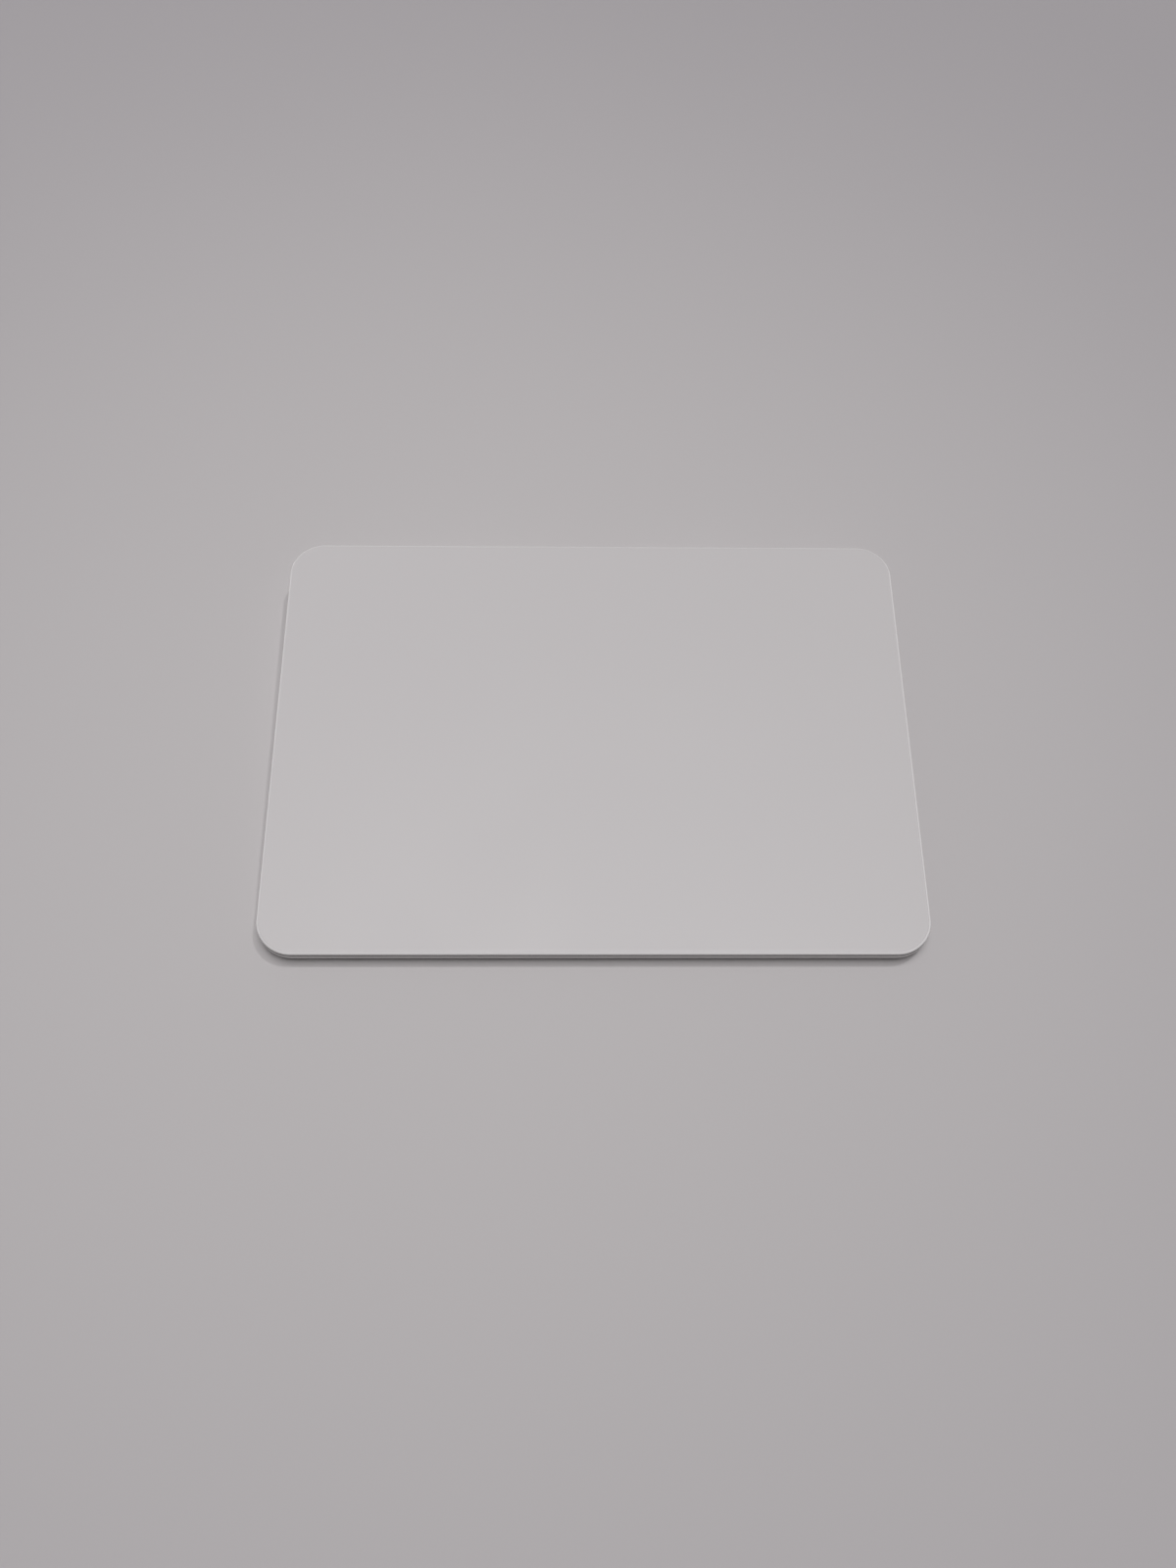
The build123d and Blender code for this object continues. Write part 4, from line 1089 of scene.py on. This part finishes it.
def modelCoil(side):
    shape = coilShape
    length, breadth, height = shape["size"]
    middle = (side * shape["x"], shape["y"], shape["low"] + height / 2)
    coil = startBox("hapticCoil", shape["size"], middle)
    editMode()
    chooseAlong("x")
    roundEdges(shape["round"], shape["roundSteps"])
    chooseAlong("x")
    subdivide(2 * shape["turns"] - 1)
    step = length / (2 * shape["turns"])
    start = middle[0] - length / 2
    chooseCorners(lambda place: round((place.x / mm - start) / step) % 2 == 0)
    bpy.ops.transform.shrink_fatten(value=-shape["groove"] * mm)
    objectMode()
    cutAway(coil, startBox("coilBore", (length + 2, *shape["bore"]), middle))
    # a band of tape holds the last turns at each end
    tapes = []
    for end in (-1, 1):
        tapeX = middle[0] + end * (length / 2 - shape["tapeInward"])
        tapeZ = middle[2] + height / 2 + shape["tapeSize"][2] / 2
        tape = startBox("coilTape", shape["tapeSize"], (tapeX, middle[1], tapeZ))
        softenEdges(tape, shape["tapeEdge"], 1)
        tapes.append(tape)
    return [coil], tapes


def makeCoils():
    coils, tapes = (left + right for left, right in zip(modelCoil(-1), modelCoil(1)))
    finishPiece(joinPieces(coils, "hapticCoilsWound"), "housing", "copper_wire", ["haptic_coils"], angle=50)
    finishPiece(joinPieces(tapes, "hapticCoilTapes"), "housing", "flat_cable", material=finishes["amber_tape"])


makeCoils()
print("coils wound")

# Battery cells: soft pouches with folded side seams, and a sealed ledge where the leads come out
cellShape = {
    "x": 38.675, "y": 18.86, "low": 2.25, "size": (70.65, 34.78, 3.0), "corner": 2.0, "cornerSteps": 8,
    "round": 0.8, "roundSteps": 5, "roundProfile": 0.6, "lowRound": 0.4, "lowSteps": 3,
    "crown": 0.12, "crownSteps": ((0.5, 0.93), (0.3, 0.88), (0.2, 0.8)),
    "ledge": 2.0, "ledgeShorter": 3, "ledgeOverlap": 0.5, "ledgeHeight": 3.45, "ledgeEdge": 0.08, "foil": 0.3,
    "fold": 0.35, "foldShorter": 5, "foldStart": 0.3, "foldHeight": 2.1, "foldEdge": 0.12,
    "tape": (66.0, 1.7, 0.06), "tapeInward": 0.2, "tapeEdge": 0.02,
}


def modelCell(side, word):
    shape = cellShape
    length, breadth, height = shape["size"]
    x, low, ledge, foil = side * shape["x"], shape["low"], shape["ledge"], shape["foil"]
    front = shape["y"] - breadth / 2
    bodyBreadth = breadth - ledge
    bodyMiddle = front + bodyBreadth / 2
    bodyHeight = height - shape["crown"]
    body = startBox(
        "cellBody", (length - 2 * shape["fold"], bodyBreadth, bodyHeight), (x, bodyMiddle, low + bodyHeight / 2))
    editMode()
    chooseAlong("z")
    roundEdges(shape["corner"], shape["cornerSteps"])
    chooseEnd(1, low + bodyHeight - hair)
    roundEdges(shape["round"], shape["roundSteps"], shape["roundProfile"])
    chooseEnd(-1, low + hair)
    roundEdges(shape["lowRound"], shape["lowSteps"])
    # the top is a little full, like a soft bag
    chooseLevel(1)
    for share, closer in shape["crownSteps"]:
        extrudeBy(0, 0, share * shape["crown"] * mm)
        squeeze(1 - (1 - closer) / 2, closer, (x * mm, bodyMiddle * mm, 0))
    objectMode()
    seam = startBox(
        "cellLedge", (length - shape["ledgeShorter"], ledge + shape["ledgeOverlap"], foil),
        (x, front + breadth - ledge / 2 - shape["ledgeOverlap"] / 2, shape["ledgeHeight"]))
    softenEdges(seam, shape["ledgeEdge"], 2)
    parts = [body, seam]
    foldMiddle = low + shape["foldStart"] + shape["foldHeight"] / 2
    for end in (-1, 1):
        fold = startBox(
            "cellFold", (shape["fold"], bodyBreadth - shape["foldShorter"], shape["foldHeight"]),
            (x + end * (length - shape["fold"]) / 2, bodyMiddle, foldMiddle))
        softenEdges(fold, shape["foldEdge"], 3)
        parts.append(fold)
    tape = startBox("cellTape" + word, shape["tape"], (
        x, front + breadth - shape["tape"][1] / 2 - shape["tapeInward"],
        shape["ledgeHeight"] + (foil + shape["tape"][2]) / 2))
    softenEdges(tape, shape["tapeEdge"], 1)
    finishPiece(tape, "housing", "flat_cable", material=finishes["amber_tape"])
    return parts


for side, word in ((-1, "left"), (1, "right")):
    cell = joinPieces(modelCell(side, word.title()), "batteryPouch" + word.title())
    finishPiece(cell, "housing", "cell_pouch", ["battery_cell_" + word], angle=40)
print("battery pouches made")

# Feet: turned pads with a rounded edge, a fine ring groove and a dished middle; steps inward and up
footShape = {
    "sides": 72, "edgeRound": 0.35, "edgeSteps": 6,
    "steps": ((0.55, 0), (0.12, 0.09), (0.22, 0), (0.12, -0.09), (1.2, 0.024), (1.0, 0.036)),
}


def makeFeet():
    shape = footShape
    for place in cornerShape["places"]:
        low, high = separateBoxes("foot_" + place)[0]
        foot = startCylinder(shape["sides"], (high.y - low.y) / 2, high.z - low.z, (low + high) / 2)
        foot.name = foot.data.name = "footPad" + titled(place)
        bpy.ops.object.transform_apply()
        editMode()
        chooseEnd(-1, low.z + hair)
        roundEdges(shape["edgeRound"], shape["edgeSteps"])
        chooseLevel(-1)
        for inward, up in shape["steps"]:
            stepInward(inward, up)
        objectMode()
        finishPiece(foot, "housing", "foot_silicone", ["foot_" + place], angle=30)


makeFeet()
print("feet made")

# Floor and light
# the floor is painted darker away from its middle, a painted fall-off of the overhead light, and lighter again
# where it meets the backdrop
floorLook = {
    "size": 8.0, "height": -0.02, "tone": (0.621, 0.597, 0.605), "far": (0.443, 0.421, 0.441),
    "middle": (-0.03, -0.005, 0), "fade": (0.02, 0.40), "horizon": (0.55, 0.535, 0.542), "horizonFade": (0.48, 1.6),
    "drift": 0.985, "driftScale": 2.5, "roughness": 0.7,
}
skyLook = {
    "light": 0.17, "lightTone": (1, 0.99, 0.992), "seen": 0.37, "seenTone": (1, 0.975, 0.985),
    "below": (0.3, 1.0), "belowFrom": (0.75, -0.45, -0.35), "belowEdge": (-0.6, 0.9),
    "window": 1.6, "windowFrom": (-0.62, 0.68, 0.38), "windowEdge": (0.6, 0.95),
}
# sizes in m, power in W
lampLook = {"place": (0.3, 0.3, 12.0), "size": (6.4, 8.4), "power": 650, "colour": (1.0, 0.99, 0.985)}
sideLook = {"from": (0.33, 0.31, 1), "strength": 0.44, "angle": 1.5}


def makeFloor():
    look = floorLook
    nothingSelected()
    bpy.ops.mesh.primitive_plane_add(size=look["size"], location=(0, 0, look["height"] * mm))
    floor = bpy.context.active_object
    floor.name = floor.data.name = "studioFloor"
    material, tree, shader = startFinish("paleFloor", {"Roughness": look["roughness"]})
    away = vectorCalc(tree, "LENGTH", vectorCalc(tree, "SUBTRACT", objectPlace(tree), look["middle"]))
    # the floor is painted darker from its middle outward: a painted fall-off of the light
    # far beyond the photograph the floor runs softly into the backdrop
    base = look["tone"]
    for fade, further in (("fade", "far"), ("horizonFade", "horizon")):
        base = blendColour(tree, spread(tree, away, *look[fade], way="SMOOTHSTEP"), base, look[further])
    worn = blendColour(tree, 1.0, base, [look["drift"]] * 3, "MULTIPLY")
    colour = placeGroup(tree, tone, Tone=base, Drift=worn, Scale=look["driftScale"])
    plug(tree, shader, {"Base Color": colour["Color"]})
    # seen from below the floor is left out, so that the underside shows
    clear = addNode(tree, "BsdfTransparent").outputs[0]
    back = addNode(tree, "NewGeometry").outputs["Backfacing"]
    crossed = addNode(tree, "LightPath").outputs["Transparent Depth"]
    leftOut = calc(tree, "+", back, crossed, clamp=True)
    mixed = addNode(tree, "MixShader", {0: leftOut, 1: shader.outputs[0], 2: clear})
    plug(tree, tree.nodes["Material Output"], {"Surface": mixed.outputs[0]})
    floor.data.materials.append(material)


def makeSky():
    look = skyLook
    world = bpy.data.worlds.new("softRoom")
    bpy.context.scene.world = world
    world.use_nodes = True
    tree = world.node_tree
    tree.nodes.clear()
    paths = addNode(tree, "LightPath").outputs
    crossed = calc(tree, "MINIMUM", paths["Transparent Depth"], 1.0)
    mirrored = calc(tree, "+", paths["Is Glossy Ray"], paths["Is Transmission Ray"], clamp=True)
    mirrored = calc(tree, "-", mirrored, crossed, clamp=True)
    seen = calc(tree, "+", paths["Is Camera Ray"], mirrored, clamp=True)
    # under the floor the light comes mostly from one side, so that the underside shows its shape
    way = addNode(tree, "TexCoord").outputs["Generated"]
    sided = vectorCalc(tree, "DOT_PRODUCT", way, look["belowFrom"])
    below = spread(tree, sided, *look["belowEdge"], *look["below"])
    level = spread(tree, crossed, 0, 1, look["light"], below)
    # polished edges mirror a bright patch to the left and behind
    toward = vectorCalc(tree, "DOT_PRODUCT", way, look["windowFrom"])
    patch = spread(tree, toward, *look["windowEdge"], way="SMOOTHSTEP")
    brightness = spread(tree, calc(tree, "*", patch, mirrored), 0, 1, look["seen"], look["window"])
    light, pale = (
        addNode(tree, "Background", {"Color": colour, "Strength": strength}).outputs[0]
        for colour, strength in ((look["lightTone"], level), (look["seenTone"], brightness)))
    mixed = addNode(tree, "MixShader", {0: seen, 1: light, 2: pale}).outputs[0]
    addNode(tree, "OutputWorld", {"Surface": mixed})


def placeLight(name, kind):
    lamp = bpy.data.lights.new(name, kind)
    return lamp, placeObject(name, lamp)


def makeLamp():
    # a broad even softbox high overhead, its middle a little to the right and behind
    look = lampLook
    lamp, holder = placeLight("overheadSoftLight", "AREA")
    lamp.shape = "RECTANGLE"
    lamp.size, lamp.size_y = look["size"]
    lamp.energy = look["power"]
    lamp.color = look["colour"]
    holder.location = look["place"]
    holder.visible_camera = False


def makeSideLight():
    # a far window on the right and behind draws a fine shadow line along the left edge
    look = sideLook
    lamp, holder = placeLight("farWindowLight", "SUN")
    lamp.energy = look["strength"]
    lamp.angle = math.radians(look["angle"])
    holder.rotation_euler = Vector(look["from"]).to_track_quat("Z", "Y").to_euler()
    holder.visible_glossy = False


makeFloor()
makeSky()
makeLamp()
makeSideLight()
bpy.context.scene.view_settings.view_transform = "Standard"
print("floor and light set")
